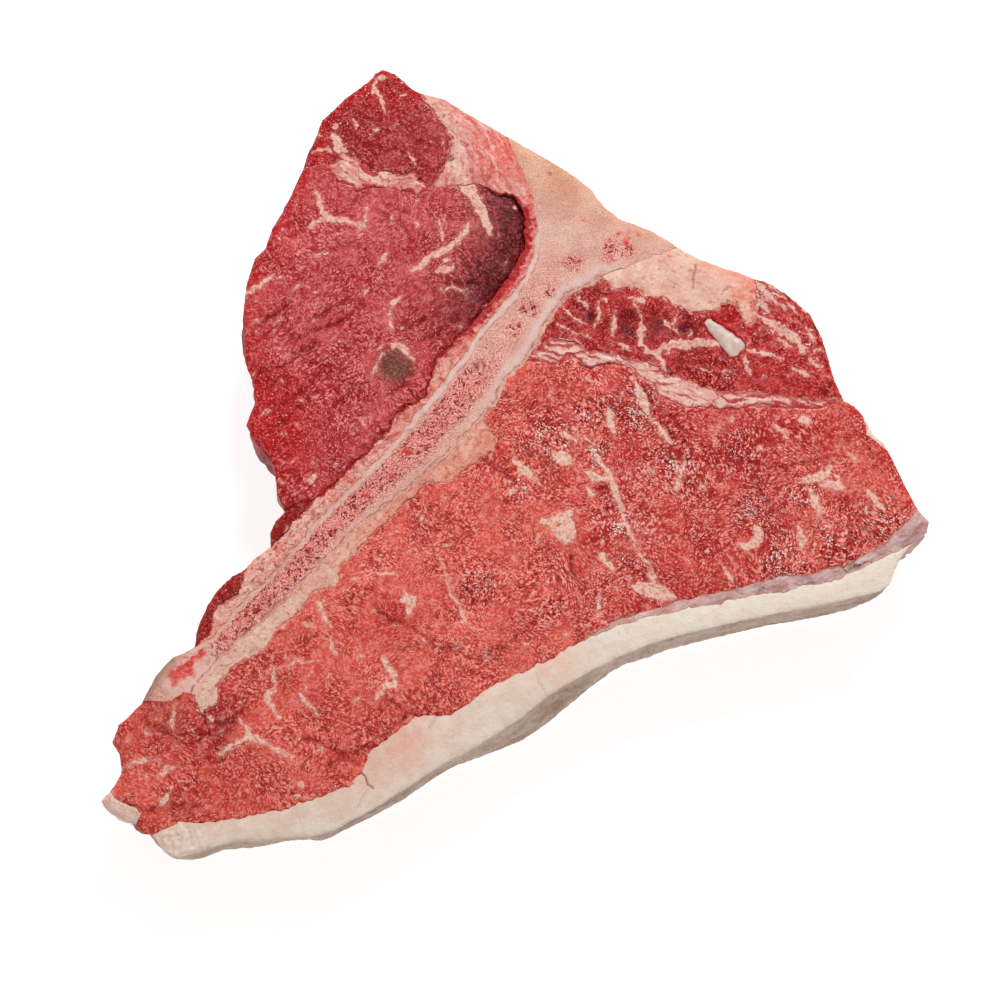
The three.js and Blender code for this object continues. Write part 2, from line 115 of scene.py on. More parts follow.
# Seams on the cut face, in plan millimetres. Each is shared by the pieces on its two sides.
seam = {
    "tip_rim": [(-105, -73.5), (-101, -66.7), (-96.5, -61.5), (-90.8, -58.3)],
    "tip_side": [(-105, -73.5), (-97, -73.8), (-93, -71), (-90.5, -71.5)],
    "stem_left": [(5.2, 77), (6.5, 68), (5.3, 58.5), (2.5, 51.5), (-1.5, 45.5), (-11.5, 34),
                  (-15, 27.5), (-25.5, 13.5), (-31, 7), (-36.5, -0.5), (-50, -14.7), (-57, -22),
                  (-67, -35.3), (-77, -44.8), (-86, -55.5), (-90.8, -58.3)],
    "stem_right": [(-9, 9), (-20, -3), (-26, -8.7), (-45, -24.2), (-58, -38), (-71, -51),
                   (-83, -61.5), (-90.5, -71.5)],
    "head_side": [(-2, 95.4), (-0.8, 91.5), (2.2, 85), (5.2, 77)],
    "head_rim": [(-2, 95.4), (5, 91), (12, 86.7), (18, 82.6), (23, 78.3), (26, 73.5), (31, 69.5),
                 (40, 66), (44, 63.2), (47.5, 60.9)],
    "stem_meat": [(-9, 9), (-4.5, 15), (-2, 20.5), (3.5, 26)],
    "seam_root": [(3.5, 26), (5.3, 29)],
    "chine_side": [(5.3, 29), (9.5, 37), (15, 45.5), (21.5, 48.7), (25.8, 52)],
    "arm_under": [(25.8, 52), (34, 55.3), (47.5, 60.9)],
}

# The rest of the rim, clockwise from the head, so that a piece knows how far its points lie inside it.
seam.update({
    "chine_fat_rim": [(47.5, 60.9), (53, 58), (60, 55.1), (70, 51.3)],
    "chine_rim": [(70, 51.3), (75, 49.5), (80, 45.8), (86, 40.3), (89, 33.5), (91, 25), (92.5, 20.5),
                  (95, 14.6)],
    "shoulder_rim": [(95, 14.6), (98, 13), (100.5, 10)],
    "scrap_rim": [(100.5, 10), (103.3, 4), (105.8, 2), (107.5, -1.3)],
    "strip_rim": [(107.5, -1.3), (109.5, -6), (112, -11.5), (115.3, -18)],
    "skin_rim": [(115.3, -18), (118.3, -21.5), (117.5, -25), (113, -28.3)],
    "cap_rim": [(113, -28.3), (109, -33.5), (106.3, -40.5), (103.5, -42.5), (90, -45.5), (75, -48.5),
                (60, -51.8), (50, -54.2), (40, -57), (30, -61), (20, -66), (10, -72), (0, -80),
                (-11, -87.3), (-20, -92), (-30, -98.7), (-40, -105), (-50, -110.3), (-58, -112.5),
                (-75, -113.2), (-90.5, -116.7), (-95, -118), (-98.3, -116.3), (-101.5, -111.2)],
    "lobe_rim": [(-101.5, -111.2), (-104.3, -110.9), (-106.7, -108.3)],
    "tail_rim": [(-106.7, -108.3), (-110, -107.7), (-114.7, -104), (-116.1, -101.8), (-113.8, -98.7)],
    "flank_rim": [(-113.8, -98.7), (-110.6, -93.3), (-111.3, -88), (-113.7, -84.5), (-112.3, -79.7),
                  (-105, -73.5)],
    "lower_strip_rim": [(-90.8, -58.3), (-90, -53.5), (-87, -46), (-84.5, -41.8), (-80.5, -37.6),
                        (-76.8, -35.7)],
    "band_rim": [(-76.8, -35.7), (-74, -32.5), (-69.3, -29)],
    "upper_strip_rim": [(-69.3, -29), (-69.6, -25), (-68.3, -21.7), (-65.2, -18.7)],
    "fillet_rim": [(-65.2, -18.7), (-67.5, -13.5), (-69, -5), (-75, 2.5), (-77, 7), (-74.6, 14),
                   (-75.2, 19.3), (-77.6, 26), (-78.7, 38), (-77.8, 50), (-75.5, 57.5), (-72.3, 61),
                   (-71, 66), (-65.5, 76), (-61.8, 85.2)],
    "chain_rim": [(-61.8, 85.2), (-60.5, 90), (-57.5, 96.5), (-56.3, 100.5), (-50, 107),
                  (-43, 112.5), (-41, 115.2), (-38.3, 116.3), (-35, 114.8), (-30, 110),
                  (-27.5, 108.7)],
    "suet_rim": [(-27.5, 108.7), (-20, 106.8), (-15, 103.6), (-8, 99), (-2, 95.4)],
})
RIM_SEAMS = [name for name in seam if name.endswith("_rim")]


def ripple(places, finest, coarsest, seed, waves=36):
    """A smooth random relief, about -1 to 1: the sum of cosine waves of random heading and phase, with
    wavelengths spread evenly in proportion between finest and coarsest millimetres."""
    dice = np.random.default_rng(seed)
    axes = places.shape[-1]
    heading = dice.normal(size=(waves, axes))
    heading /= np.linalg.norm(heading, axis=1, keepdims=True)
    length = finest * (coarsest / finest) ** dice.random(waves)
    phase = dice.random(waves) * 2 * np.pi
    total = np.zeros(places.shape[:-1])
    for number in range(waves):
        steady = 2 * np.pi / length[number]
        total += np.cos(places @ (heading[number] * steady) + phase[number])
    return total / np.sqrt(waves / 2) * 0.6


def distance_to(places, line):
    """How far each place lies from a line of points: the least distance to any of its straight runs."""
    line = np.asarray(line, float)
    nearest = np.full(places.shape[:-1], 1e9)
    for start, end in zip(line[:-1], line[1:]):
        run = end - start
        off = places - start
        part = np.clip((off @ run) / max(run @ run, 1e-12), 0, 1)
        gap = off - part[..., None] * run
        nearest = np.minimum(nearest, np.einsum("...i,...i", gap, gap))
    return np.sqrt(nearest)


def side_line(names):
    """Joins seams end to end, a minus sign running one backwards, and says how far along each seam ends."""
    line, marks, length = [], [0.0], 0.0
    for name in names:
        points = seam[name.lstrip("-")]
        for point in (reversed(points) if name.startswith("-") else points):
            point = np.array(point, float)
            if line and np.hypot(*(point - line[-1])) < 1e-6:
                continue
            if line:
                length += np.hypot(*(point - line[-1]))
            line.append(point)
        marks.append(length)
    return np.array(line), np.array(marks)


def side_phases(line, marks, own_ties, other_ties, other_marks):
    """How far along the piece each point of a side counts, from 0 to 1: its length along the side, shifted
    so that the two places of a tie get the mean of their own lengths."""
    def share(of_marks, ties):
        return np.interp(ties, np.arange(len(of_marks)), of_marks) / of_marks[-1]
    own = np.concatenate([[0], share(marks, own_ties), [1]])
    other = np.concatenate([[0], share(other_marks, other_ties), [1]])
    length = np.concatenate([[0], np.cumsum(np.hypot(*np.diff(line, axis=0).T))]) / marks[-1]
    return np.interp(length, own, (own + other) / 2)


def paired(left, right):
    """A right-hand corner takes the phase of a left-hand one that it nearly faces."""
    result, used = right.copy(), 0
    for index in range(1, len(right) - 1):
        reach = 0.45 * min(right[index] - right[index - 1], right[index + 1] - right[index])
        for other in range(used + 1, len(left) - 1):
            if abs(left[other] - right[index]) < reach:
                result[index], used = left[other], other
                break
    return result


def patch(places, centre, reach, soft=1.0):
    """1 inside a round patch, falling to 0 over its soft outer share."""
    away = np.hypot(*np.moveaxis(places - np.asarray(centre, float), -1, 0)) / reach
    part = np.clip((1 - away) / soft, 0, 1)
    return part * part * (3 - 2 * part)


def tucked(places, height):
    """Draws points in towards the middle, by their height: a little at the top, more at the foot. Under
    the hollow of the fat cap's outline the foot stands out instead. Inside the slice, a slow drift that
    all pieces share makes the seams wander on their way down."""
    level = np.clip(height / THICKNESS, 0, 1)
    def ease(part):
        part = np.clip(part, 0, 1)
        return part * part * (3 - 2 * part)
    scale = 1 - UPPER_TUCK * ease((level - 0.6) / 0.4) - LOWER_TUCK * ease((0.6 - level) / 0.6)
    spread = MIDDLE + (places - MIDDLE) * scale[..., None]
    bulge = FOOT_BULGE * patch(places, FOOT_BULGE_PLACE, FOOT_BULGE_REACH)
    spread[..., 1] += (LOWER_SHIFT - bulge) * (1 - level)
    spot = np.concatenate([places, height[..., None]], axis=-1)
    drift = np.stack([ripple(spot, 14, 45, 17, 14), ripple(spot, 14, 45, 18, 14)], axis=-1)
    spread += SEAM_DRIFT * np.sin(np.pi * level)[..., None] * drift
    return np.concatenate([spread + PLAN_ZERO, height[..., None]], axis=-1) / 1000


def wandered(places, share):
    """Moves plan points by a share of a fine random drift, so that straight runs get the ragged edge of cut
    tissue. The drift is less at the rim, which the knife left smooth."""
    calm = np.exp(-rim_distance(places) / 3)[..., None]
    drift = np.stack([ripple(places, 3.0, 10.0, 11), ripple(places, 3.0, 10.0, 12)], axis=-1)
    fine = np.stack([ripple(places, 1.5, 3.0, 13), ripple(places, 1.5, 3.0, 14)], axis=-1)
    return places + share * (0.34 * (1 - 0.8 * calm) * drift + 0.16 * (1 - 0.6 * calm) * fine)


def fibre_run(places, heading):
    """Plan coordinates along and across the fibres: turned by the heading, in degrees, and bent by slow
    waves."""
    turn = np.radians(heading)
    bent = places + 1.8 * np.stack([ripple(places, 16, 45, 15), ripple(places, 16, 45, 16)], axis=-1)
    return {"along": bent[..., 0] * np.cos(turn) + bent[..., 1] * np.sin(turn),
            "across": bent[..., 1] * np.cos(turn) - bent[..., 0] * np.sin(turn)}


def face_height(places):
    """The height of the cut face before any relief: the thickness, less what the tail has lost."""
    near = np.clip(1 - np.hypot(*np.moveaxis(places - TAIL_TIP, -1, 0)) / TAIL_REACH, 0, 1)
    return THICKNESS - TAIL_THINNING * near * near * (3 - 2 * near)


def rim_distance(places):
    """How far each plan point lies inside the steak's outline."""
    return np.min([distance_to(places, seam[name]) for name in RIM_SEAMS], axis=0)


def softened(line, names, from_rim):
    """Rounds the rim's corners: again and again each station goes half way to the middle of its two
    neighbours, less near the ends of the named seams, and not at all inside the steak."""
    ends = np.array([seam[name.lstrip("-")][end] for name in names for end in (0, -1)], float)
    near = np.min(np.hypot(*np.moveaxis(line[:, None] - ends[None], -1, 0)), axis=1)
    free = 0.5 * np.clip(near / 3, 0, 1) * (from_rim < 0.2)
    soft = line.copy()
    for _ in range(CORNER_ROUNDS):
        soft[1:-1] += free[1:-1, None] * ((soft[:-2] + soft[2:]) / 2 - soft[1:-1])
    return soft


def cut_slice(name, left, right, ties, cell, relief, marks_of, heading, swell=0.3, seam_drop=0.07,
              rim_drop=1.2, rounding=1.0, wall_waves=0.55, drift=1.0):
    """One tissue as a closed solid. Straight rulings join its left side to its right side, and the grid
    along and across them is the cut face. The face rises away from its edges by swell times
    1 - exp(-distance / 4 mm), drops by seam_drop at a seam and by rim_drop at the rim, and carries the
    piece's own relief. The loop goes on down the right wall, back under the piece and up the left wall.
    Down a wall, the corners get rounder, upright flutes and dents grow, and the marks stray sideways."""
    left_line, left_marks = side_line(left)
    right_line, right_marks = side_line(right)
    left_ties = [tie[0] for tie in ties]
    right_ties = [tie[1] for tie in ties]
    left_phase = side_phases(left_line, left_marks, left_ties, right_ties, right_marks)
    right_phase = paired(left_phase, side_phases(right_line, right_marks, right_ties, left_ties, left_marks))
    corners = np.unique(np.round(np.concatenate([left_phase, right_phase]), 5))

    def at(line, phase, where):
        return np.stack([np.interp(where, phase, line[:, axis]) for axis in (0, 1)], axis=-1)

    runs = np.maximum(
        np.hypot(*np.diff(at(left_line, left_phase, corners), axis=0).T),
        np.hypot(*np.diff(at(right_line, right_phase, corners), axis=0).T))
    counts = np.maximum(1, np.ceil(runs / cell)).astype(int)
    stations = np.concatenate([
        np.linspace(start, end, count, endpoint=False)
        for start, end, count in zip(corners[:-1], corners[1:], counts)] + [[1.0]])
    on_left = at(left_line, left_phase, stations)
    on_right = at(right_line, right_phase, stations)
    widest = np.max(np.hypot(*(on_right - on_left).T))
    columns = max(6, int(np.ceil(widest / cell)))
    under_columns = max(4, columns // 3)
    rows = len(stations)
    wall_rows = len(WALL_LEVELS)

    def spread(count, from_line, to_line):
        step = np.linspace(0, 1, count + 1)
        parts = 0.7 * step + 0.3 * (1 - np.cos(np.pi * step)) / 2
        return from_line[:, None] + (to_line - from_line)[:, None] * parts[None, :, None]

    def edge_distance(places):
        return np.minimum(distance_to(places, left_line), distance_to(places, right_line))

    top = spread(columns, on_left, on_right)
    shown = {**marks_of(top), **fibre_run(top, heading)}
    edge = edge_distance(top)
    rim = rim_distance(top)
    rise = (swell + seam_drop) * (1 - np.exp(-edge / 4)) - seam_drop * np.exp(-edge / 0.8)
    height = face_height(top) - 0.4 + rise - rim_drop * np.exp(-rim / rounding) + relief(top, edge, shown)
    top_points = tucked(wandered(top, drift), height)

    left_foot = softened(on_left, left, rim[:, 0])
    right_foot = softened(on_right, right, rim[:, -1])
    under = spread(under_columns, left_foot, right_foot)[:, ::-1]
    under_shown = {**marks_of(under), **fibre_run(under, heading)}
    under_height = 0.25 * np.exp(-edge_distance(under) / 0.8) + 0.9 * np.exp(-rim_distance(under) / 1.4)
    under_points = tucked(wandered(under, drift), under_height)

    def wall(line, foot_line, top_height, foot_height, rim_here, outward_sign, levels):
        rounded = np.clip((1 - levels) / 0.4, 0, 1)
        flat = line[:, None] + (foot_line - line)[:, None] * (rounded * rounded * (3 - 2 * rounded))[:, None]
        tall = foot_height[:, None] + (top_height - foot_height)[:, None] * levels[None, :]
        along = np.gradient(line, axis=0)
        outward = np.stack([along[:, 1], -along[:, 0]], axis=-1) * outward_sign
        outward /= np.maximum(np.linalg.norm(outward, axis=1, keepdims=True), 1e-9)
        spot = np.concatenate([flat, tall[..., None]], axis=-1)
        push = wall_waves * (ripple(spot, 7, 26, 21) + 0.35 * ripple(spot, 2.5, 6, 22)
                             + 0.45 * ripple(spot * [1, 1, 0.15], 2.5, 8, 23)) - 0.5
        shift = np.exp(-rim_here / 1.5)[:, None] * np.sin(np.pi * levels) ** 0.7 * push
        stray = np.stack([ripple(spot, 10, 30, 27), ripple(spot, 10, 30, 28)], axis=-1)
        held = {**marks_of(flat + 5 * (1 - levels)[:, None] * stray), **fibre_run(flat, heading)}
        held["depth"] = top_height[:, None] - tall
        return tucked(wandered(flat, drift) + outward[:, None] * shift[..., None], tall), held

    turn = np.sign(np.sum(on_left[:-1, 0] * on_left[1:, 1] - on_left[1:, 0] * on_left[:-1, 1])
                   - np.sum(on_right[:-1, 0] * on_right[1:, 1] - on_right[1:, 0] * on_right[:-1, 1]))
    right_wall, right_held = wall(
        on_right, right_foot, height[:, -1], under_height[:, 0], rim[:, -1], -turn, WALL_LEVELS)
    left_wall, left_held = wall(
        on_left, left_foot, height[:, 0], under_height[:, -1], rim[:, 0], turn, WALL_LEVELS[::-1])
    loop = np.concatenate([top_points, right_wall, under_points, left_wall], axis=1)
    around = loop.shape[1]

    def joined(on_top, on_right_wall, on_under, on_left_wall):
        return np.concatenate([
            on_top, np.broadcast_to(on_right_wall, (rows, wall_rows)), on_under,
            np.broadcast_to(on_left_wall, (rows, wall_rows))], axis=1)

    values = {key: joined(shown[key], right_held[key], under_shown[key], left_held[key]) for key in shown}
    values["side"] = joined(np.zeros_like(edge), 1.0, np.zeros_like(under_height), 1.0)
    values["depth"] = joined(np.zeros_like(edge), right_held["depth"], np.zeros_like(under_height), left_held["depth"])

    # At the two ends the loop shuts to one upright line, so its doubled points become one.
    number = np.arange(rows * around).reshape(rows, around)
    right_start = columns + 1
    under_start = right_start + wall_rows
    left_start = under_start + under_columns + 1
    for row in (0, rows - 1):
        number[row, :right_start] = number[row, 0]
        number[row, under_start:left_start] = number[row, under_start]
        number[row, left_start:] = number[row, right_start:under_start][::-1]
    here = number[:-1]
    beside = np.roll(number[:-1], -1, axis=1)
    across = np.roll(number[1:], -1, axis=1)
    ahead = number[1:]
    triangles = np.concatenate([
        np.stack([here, beside, across], axis=-1).reshape(-1, 3),
        np.stack([here, across, ahead], axis=-1).reshape(-1, 3)])
    whole = ((triangles[:, 0] != triangles[:, 1]) & (triangles[:, 1] != triangles[:, 2])
             & (triangles[:, 2] != triangles[:, 0]))
    kept, triangles = np.unique(triangles[whole], return_inverse=True)
    triangles = triangles.reshape(-1, 3)
    points = loop.reshape(-1, 3)[kept]
    corner = points[triangles]
    if np.einsum("ij,ij->", corner[:, 0], np.cross(corner[:, 1], corner[:, 2])) < 0:
        triangles = triangles[:, ::-1]

    mesh = bpy.data.meshes.new(name)
    mesh.vertices.add(len(points))
    mesh.vertices.foreach_set("co", points.astype(np.float32).ravel())
    mesh.loops.add(triangles.size)
    mesh.loops.foreach_set("vertex_index", triangles.astype(np.int32).ravel())
    mesh.polygons.add(len(triangles))
    mesh.polygons.foreach_set("loop_start", np.arange(0, triangles.size, 3, dtype=np.int32))
    mesh.update(calc_edges=True)
    mesh.validate()
    mesh.shade_smooth()
    for key, field in values.items():
        layer = mesh.attributes.new(key, "FLOAT", "POINT")
        layer.data.foreach_set("value", field.reshape(-1)[kept].astype(np.float32))
    piece = bpy.data.objects.new(name, mesh)
    bpy.context.scene.collection.objects.link(piece)
    print(name, len(triangles))
    return piece


def placed(piece, node, material):
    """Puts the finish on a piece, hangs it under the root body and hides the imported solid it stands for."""
    piece.data.materials.append(material)
    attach(piece, "root")
    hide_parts(node)


def add_node(tree, kind, inputs=None, **settings):
    """Adds a shader node, with its settings, and fills or links its inputs."""
    made = tree.nodes.new(kind)
    for key, value in settings.items():
        setattr(made, key, value)
    for key, value in (inputs or {}).items():
        if isinstance(value, bpy.types.NodeSocket):
            tree.links.new(value, made.inputs[key])
        else:
            made.inputs[key].default_value = value
    return made


def maths(tree, operation, first, second=0.0, clamp=False):
    """One Math node's result."""
    made = add_node(tree, "ShaderNodeMath", {0: first, 1: second}, operation=operation, use_clamp=clamp)
    return made.outputs[0]


def ramp(tree, value, low, high, start=0.0, end=1.0):
    """Runs a value smoothly from start to end while it goes from low to high."""
    made = add_node(tree, "ShaderNodeMapRange", {
        "Value": value, "From Min": low, "From Max": high, "To Min": start, "To Max": end},
        interpolation_type="SMOOTHSTEP")
    return made.outputs[0]


def noise(tree, place, size_mm, detail=2.0, roughness=0.5, distortion=0.0):
    """A noise whose spots are about size_mm wide."""
    made = add_node(tree, "ShaderNodeTexNoise", {
        "Vector": place, "Scale": 1000 / size_mm, "Detail": detail, "Roughness": roughness,
        "Distortion": distortion})
    return made.outputs[0]


def lines(tree, place, size_mm, width):
    """Thin wandering lines, where a noise passes its middle value."""
    off = maths(tree, "ABSOLUTE", maths(tree, "SUBTRACT", noise(tree, place, size_mm, 3.0, 0.55), 0.5))
    return ramp(tree, off, width, 0.0)


def blended(tree, factor, under, over):
    """Mixes two colours by a mask."""
    made = add_node(tree, "ShaderNodeMix", data_type="RGBA")
    for socket, value in (("Factor_Float", factor), ("A_Color", under), ("B_Color", over)):
        target = next(s for s in made.inputs if s.identifier == socket)
        if isinstance(value, bpy.types.NodeSocket):
            tree.links.new(value, target)
        else:
            target.default_value = value
    return next(s for s in made.outputs if s.identifier == "Result_Color")


def attribute(tree, name):
    """A value that the piece's mesh holds."""
    return add_node(tree, "ShaderNodeAttribute", attribute_name=name).outputs["Fac"]


def object_place(tree):
    """Object coordinates, in metres."""
    return add_node(tree, "ShaderNodeTexCoord").outputs["Object"]


def fibre_place(tree, length):
    """A place for a noise whose spots are length times as long along the fibres as across, in metres."""
    along = maths(tree, "MULTIPLY", attribute(tree, "along"), 0.001 / length)
    across = maths(tree, "MULTIPLY", attribute(tree, "across"), 0.001)
    upright = add_node(tree, "ShaderNodeSeparateXYZ", {0: object_place(tree)}).outputs["Z"]
    return add_node(tree, "ShaderNodeCombineXYZ", {"X": across, "Y": along, "Z": upright}).outputs[0]


GLOSS_VEIL = 0.013
LIGHT_STRENGTH = 0.88


def seen(red, green, blue):
    """Paint for a colour as it looks in this light: the screen's 0 to 255 made linear, less the veil that
    gloss lays over it, and over the strength of the light."""
    shown = np.array([red, green, blue]) / 255
    linear = np.where(shown <= 0.04045, shown / 12.92, ((shown + 0.055) / 1.055) ** 2.4)
    paint = np.clip((linear - GLOSS_VEIL) / LIGHT_STRENGTH, 0.002, 0.98)
    return (*map(float, paint), 1.0)


def new_material(name):
    """A fresh material with one Principled shader, and its node tree."""
    material = bpy.data.materials.new(name)
    material.use_nodes = True
    return material, material.node_tree, material.node_tree.nodes["Principled BSDF"]


def new_group(name, inputs, outputs):
    """A fresh node group. Inputs are (name, default), a colour where the default is a tuple."""
    group = bpy.data.node_groups.new(name, "ShaderNodeTree")
    for socket, default in inputs:
        kind = "NodeSocketColor" if isinstance(default, tuple) else "NodeSocketFloat"
        group.interface.new_socket(socket, in_out="INPUT", socket_type=kind).default_value = default
    for socket, kind in outputs:
        group.interface.new_socket(socket, in_out="OUTPUT", socket_type=kind)
    return group, group.nodes.new("NodeGroupInput").outputs, group.nodes.new("NodeGroupOutput").inputs


def outer_side_group():
    """The outer wall of a slice: two tones in slow patches, a fine upright grain, a torn thin film and a few
    veins. The mask is 0 on the cut faces and sets in with a ragged edge a few millimetres down the wall."""
    group, given, result = new_group(
        "outer_side", [("Light", (0.5, 0.3, 0.3, 1.0)), ("Dark", (0.3, 0.2, 0.2, 1.0)),
                       ("Film", (0.6, 0.4, 0.4, 1.0)), ("Vein", (0.3, 0.05, 0.05, 1.0)), ("Filmed", 0.5)],
        [("Color", "NodeSocketColor"), ("Height", "NodeSocketFloat"), ("Mask", "NodeSocketFloat")])
    place = object_place(group)
    bent = add_node(group, "ShaderNodeTexNoise", {"Vector": place, "Scale": 90.0, "Detail": 2.0}).outputs["Color"]
    sway = add_node(group, "ShaderNodeVectorMath", {0: bent, "Scale": 0.009}, operation="SCALE").outputs[0]
    moved = add_node(group, "ShaderNodeVectorMath", {0: place, 1: sway}, operation="ADD").outputs[0]
    upright = add_node(
        group, "ShaderNodeVectorMath", {0: moved, 1: (1.0, 1.0, 0.22)}, operation="MULTIPLY").outputs[0]
    slow = ramp(group, noise(group, moved, 14.0, 4.0, 0.6), 0.36, 0.64)
    colour = blended(group, slow, given["Light"], given["Dark"])
    grain = noise(group, upright, 0.9, 4.0, 0.65)
    colour = blended(group, ramp(group, grain, 0.48, 0.34, 0.0, 0.45), colour, given["Vein"])
    colour = blended(group, ramp(group, grain, 0.53, 0.68, 0.0, 0.4), colour, given["Film"])
    sheet = ramp(group, noise(group, moved, 10.0, 5.0, 0.62), 0.49, 0.6)
    film = maths(group, "MULTIPLY", sheet, given["Filmed"])
    colour = blended(group, film, colour, given["Film"])
    veins = maths(group, "MULTIPLY", lines(group, moved, 13.0, 0.012), 0.5)
    colour = blended(group, veins, colour, given["Vein"])
    group.links.new(colour, result["Color"])
    height = maths(group, "ADD", maths(group, "MULTIPLY", grain, 1.2), maths(group, "MULTIPLY", sheet, 0.6))
    group.links.new(height, result["Height"])
    ragged = maths(group, "MULTIPLY", maths(group, "SUBTRACT", noise(group, place, 4.0, 3.0, 0.6), 0.5), 9.0)
    lower = ramp(group, maths(group, "ADD", attribute(group, "depth"), ragged), 0.2, 2.5)
    group.links.new(maths(group, "MULTIPLY", lower, attribute(group, "side")), result["Mask"])
    return group


OUTER_SIDE = outer_side_group()


def outer_side(tree, light, dark, film, vein, filmed):
    """The wall's colour, height and mask in one tissue's own colours."""
    made = add_node(tree, "ShaderNodeGroup", node_tree=OUTER_SIDE)
    for socket, value in (("Light", light), ("Dark", dark), ("Film", film), ("Vein", vein), ("Filmed", filmed)):
        if isinstance(value, bpy.types.NodeSocket):
            tree.links.new(value, made.inputs[socket])
        else:
            made.inputs[socket].default_value = value
    return made.outputs["Color"], made.outputs["Height"], made.outputs["Mask"]


STEM_LEFT = seam["stem_left"][1:]
STEM_RIGHT = [*reversed(seam["stem_right"]), *seam["stem_meat"], *seam["seam_root"], *seam["chine_side"]]
PORE_CLUSTERS = [((28.5, 61), 3.4), ((27.5, 57.5), 2.4), ((17, 56), 3.8), ((20.7, 69.5), 1.2), ((33, 59.5), 3.0),
                 ((4, 42), 4.0), ((0, 36), 3.4), ((10, 47), 2.6)]


def bone_marks(places):
    """How spongy the bone is, from 0 to 1: high in the named clusters and, below y = 30 mm, from a fifth
    to three quarters of the stem's width. Compact bone is a band 0.6 to 2.2 mm inside the left edge, and
    above y = 15 mm one 2.4 mm inside the right edge too. Thread is the thin blood line at both edges of
    the stem, head is the smooth tan end, and membrane is the tan skin at the rim of the stem's tip."""
    from_left = distance_to(places, STEM_LEFT)
    from_right = distance_to(places, STEM_RIGHT)
    share = from_left / (from_left + from_right + 1e-6)
    low = np.clip((34 - places[..., 1]) / 16, 0, 1)
    outer = 0.72 + 0.14 * np.clip((-20 - places[..., 1]) / 25, 0, 1)
    middle = 1 / (1 + np.exp(-(share - 0.18) / 0.02)) / (1 + np.exp((share - outer) / 0.06))
    toe = np.clip((places[..., 0] + 91) / 10, 0, 1)
    clusters = np.max([patch(places, centre, reach * 1.4) for centre, reach in PORE_CLUSTERS], axis=0)
    upper = np.clip((62 - places[..., 1]) / 14, 0, 1) * middle * 0.35
    spongy = np.clip(np.maximum(np.maximum(low * middle * toe, upper), 0.95 * clusters), 0, 1)
    fading = np.clip((72 - places[..., 1]) / 10, 0, 1) * np.clip((places[..., 1] + 22) / 30, 0, 1)
    compact = np.exp(-(np.abs(from_left - 1.1) / 0.65) ** 4) * fading * (0.75 + 0.35 * ripple(places, 3, 9, 32))
    second = np.exp(-(np.abs(from_right - 2.4) / 1.2) ** 2) * np.clip((places[..., 1] - 5) / 20, 0, 1)
    beside_stem = np.clip((66 - places[..., 1]) / 10, 0, 1)
    thread = np.exp(-(from_left / 0.35) ** 2) + 0.6 * np.exp(-(np.abs(from_left - 2.0) / 0.25) ** 2)
    thread = thread + 0.9 * np.exp(-(np.abs(from_right - 0.9) / 0.3) ** 2)
    head = np.clip((places[..., 1] + 0.45 * places[..., 0] - 72) / 16, 0, 1)
    tip = patch(places, (-91, -67), 13, 0.7)
    pool = distance_to(places, [(-94.8, -66.6), (-92.6, -64.6)])
    smear = distance_to(places, [(-92.6, -64.6), (-88.8, -60.2)])
    blood = np.max([1.4 * np.exp(-(pool / 2.5) ** 2), 1.2 * np.exp(-(smear / 1.2) ** 2), 0.45 * patch(places, (33, 64), 6),
                    0.7 * patch(places, (-43, -14), 2.0), 0.7 * patch(places, (-31, -1), 1.6)], axis=0)
    rim = np.exp(-(distance_to(places, seam["tip_rim"]) / 2.2) ** 2) * np.clip((-92 - places[..., 0]) / 4, 0, 1)
    return {"spongy": spongy, "compact": np.clip(np.maximum(compact, 0.75 * second), 0, 1),
            "thread": thread * beside_stem, "head": head * head * (3 - 2 * head), "blood": blood,
            "membrane": rim, "tip": tip}


def bone_relief(places, edge, shown):
    """Faint waves from the saw, a low ridge of compact bone, and small pits where it is spongy."""
    pits = np.clip(ripple(places, 1.1, 2.2, 31) - 0.4, 0, 1) * shown["spongy"]
    return 0.06 * ripple(places, 3, 14, 33) - 0.4 * pits + 0.12 * shown["compact"]


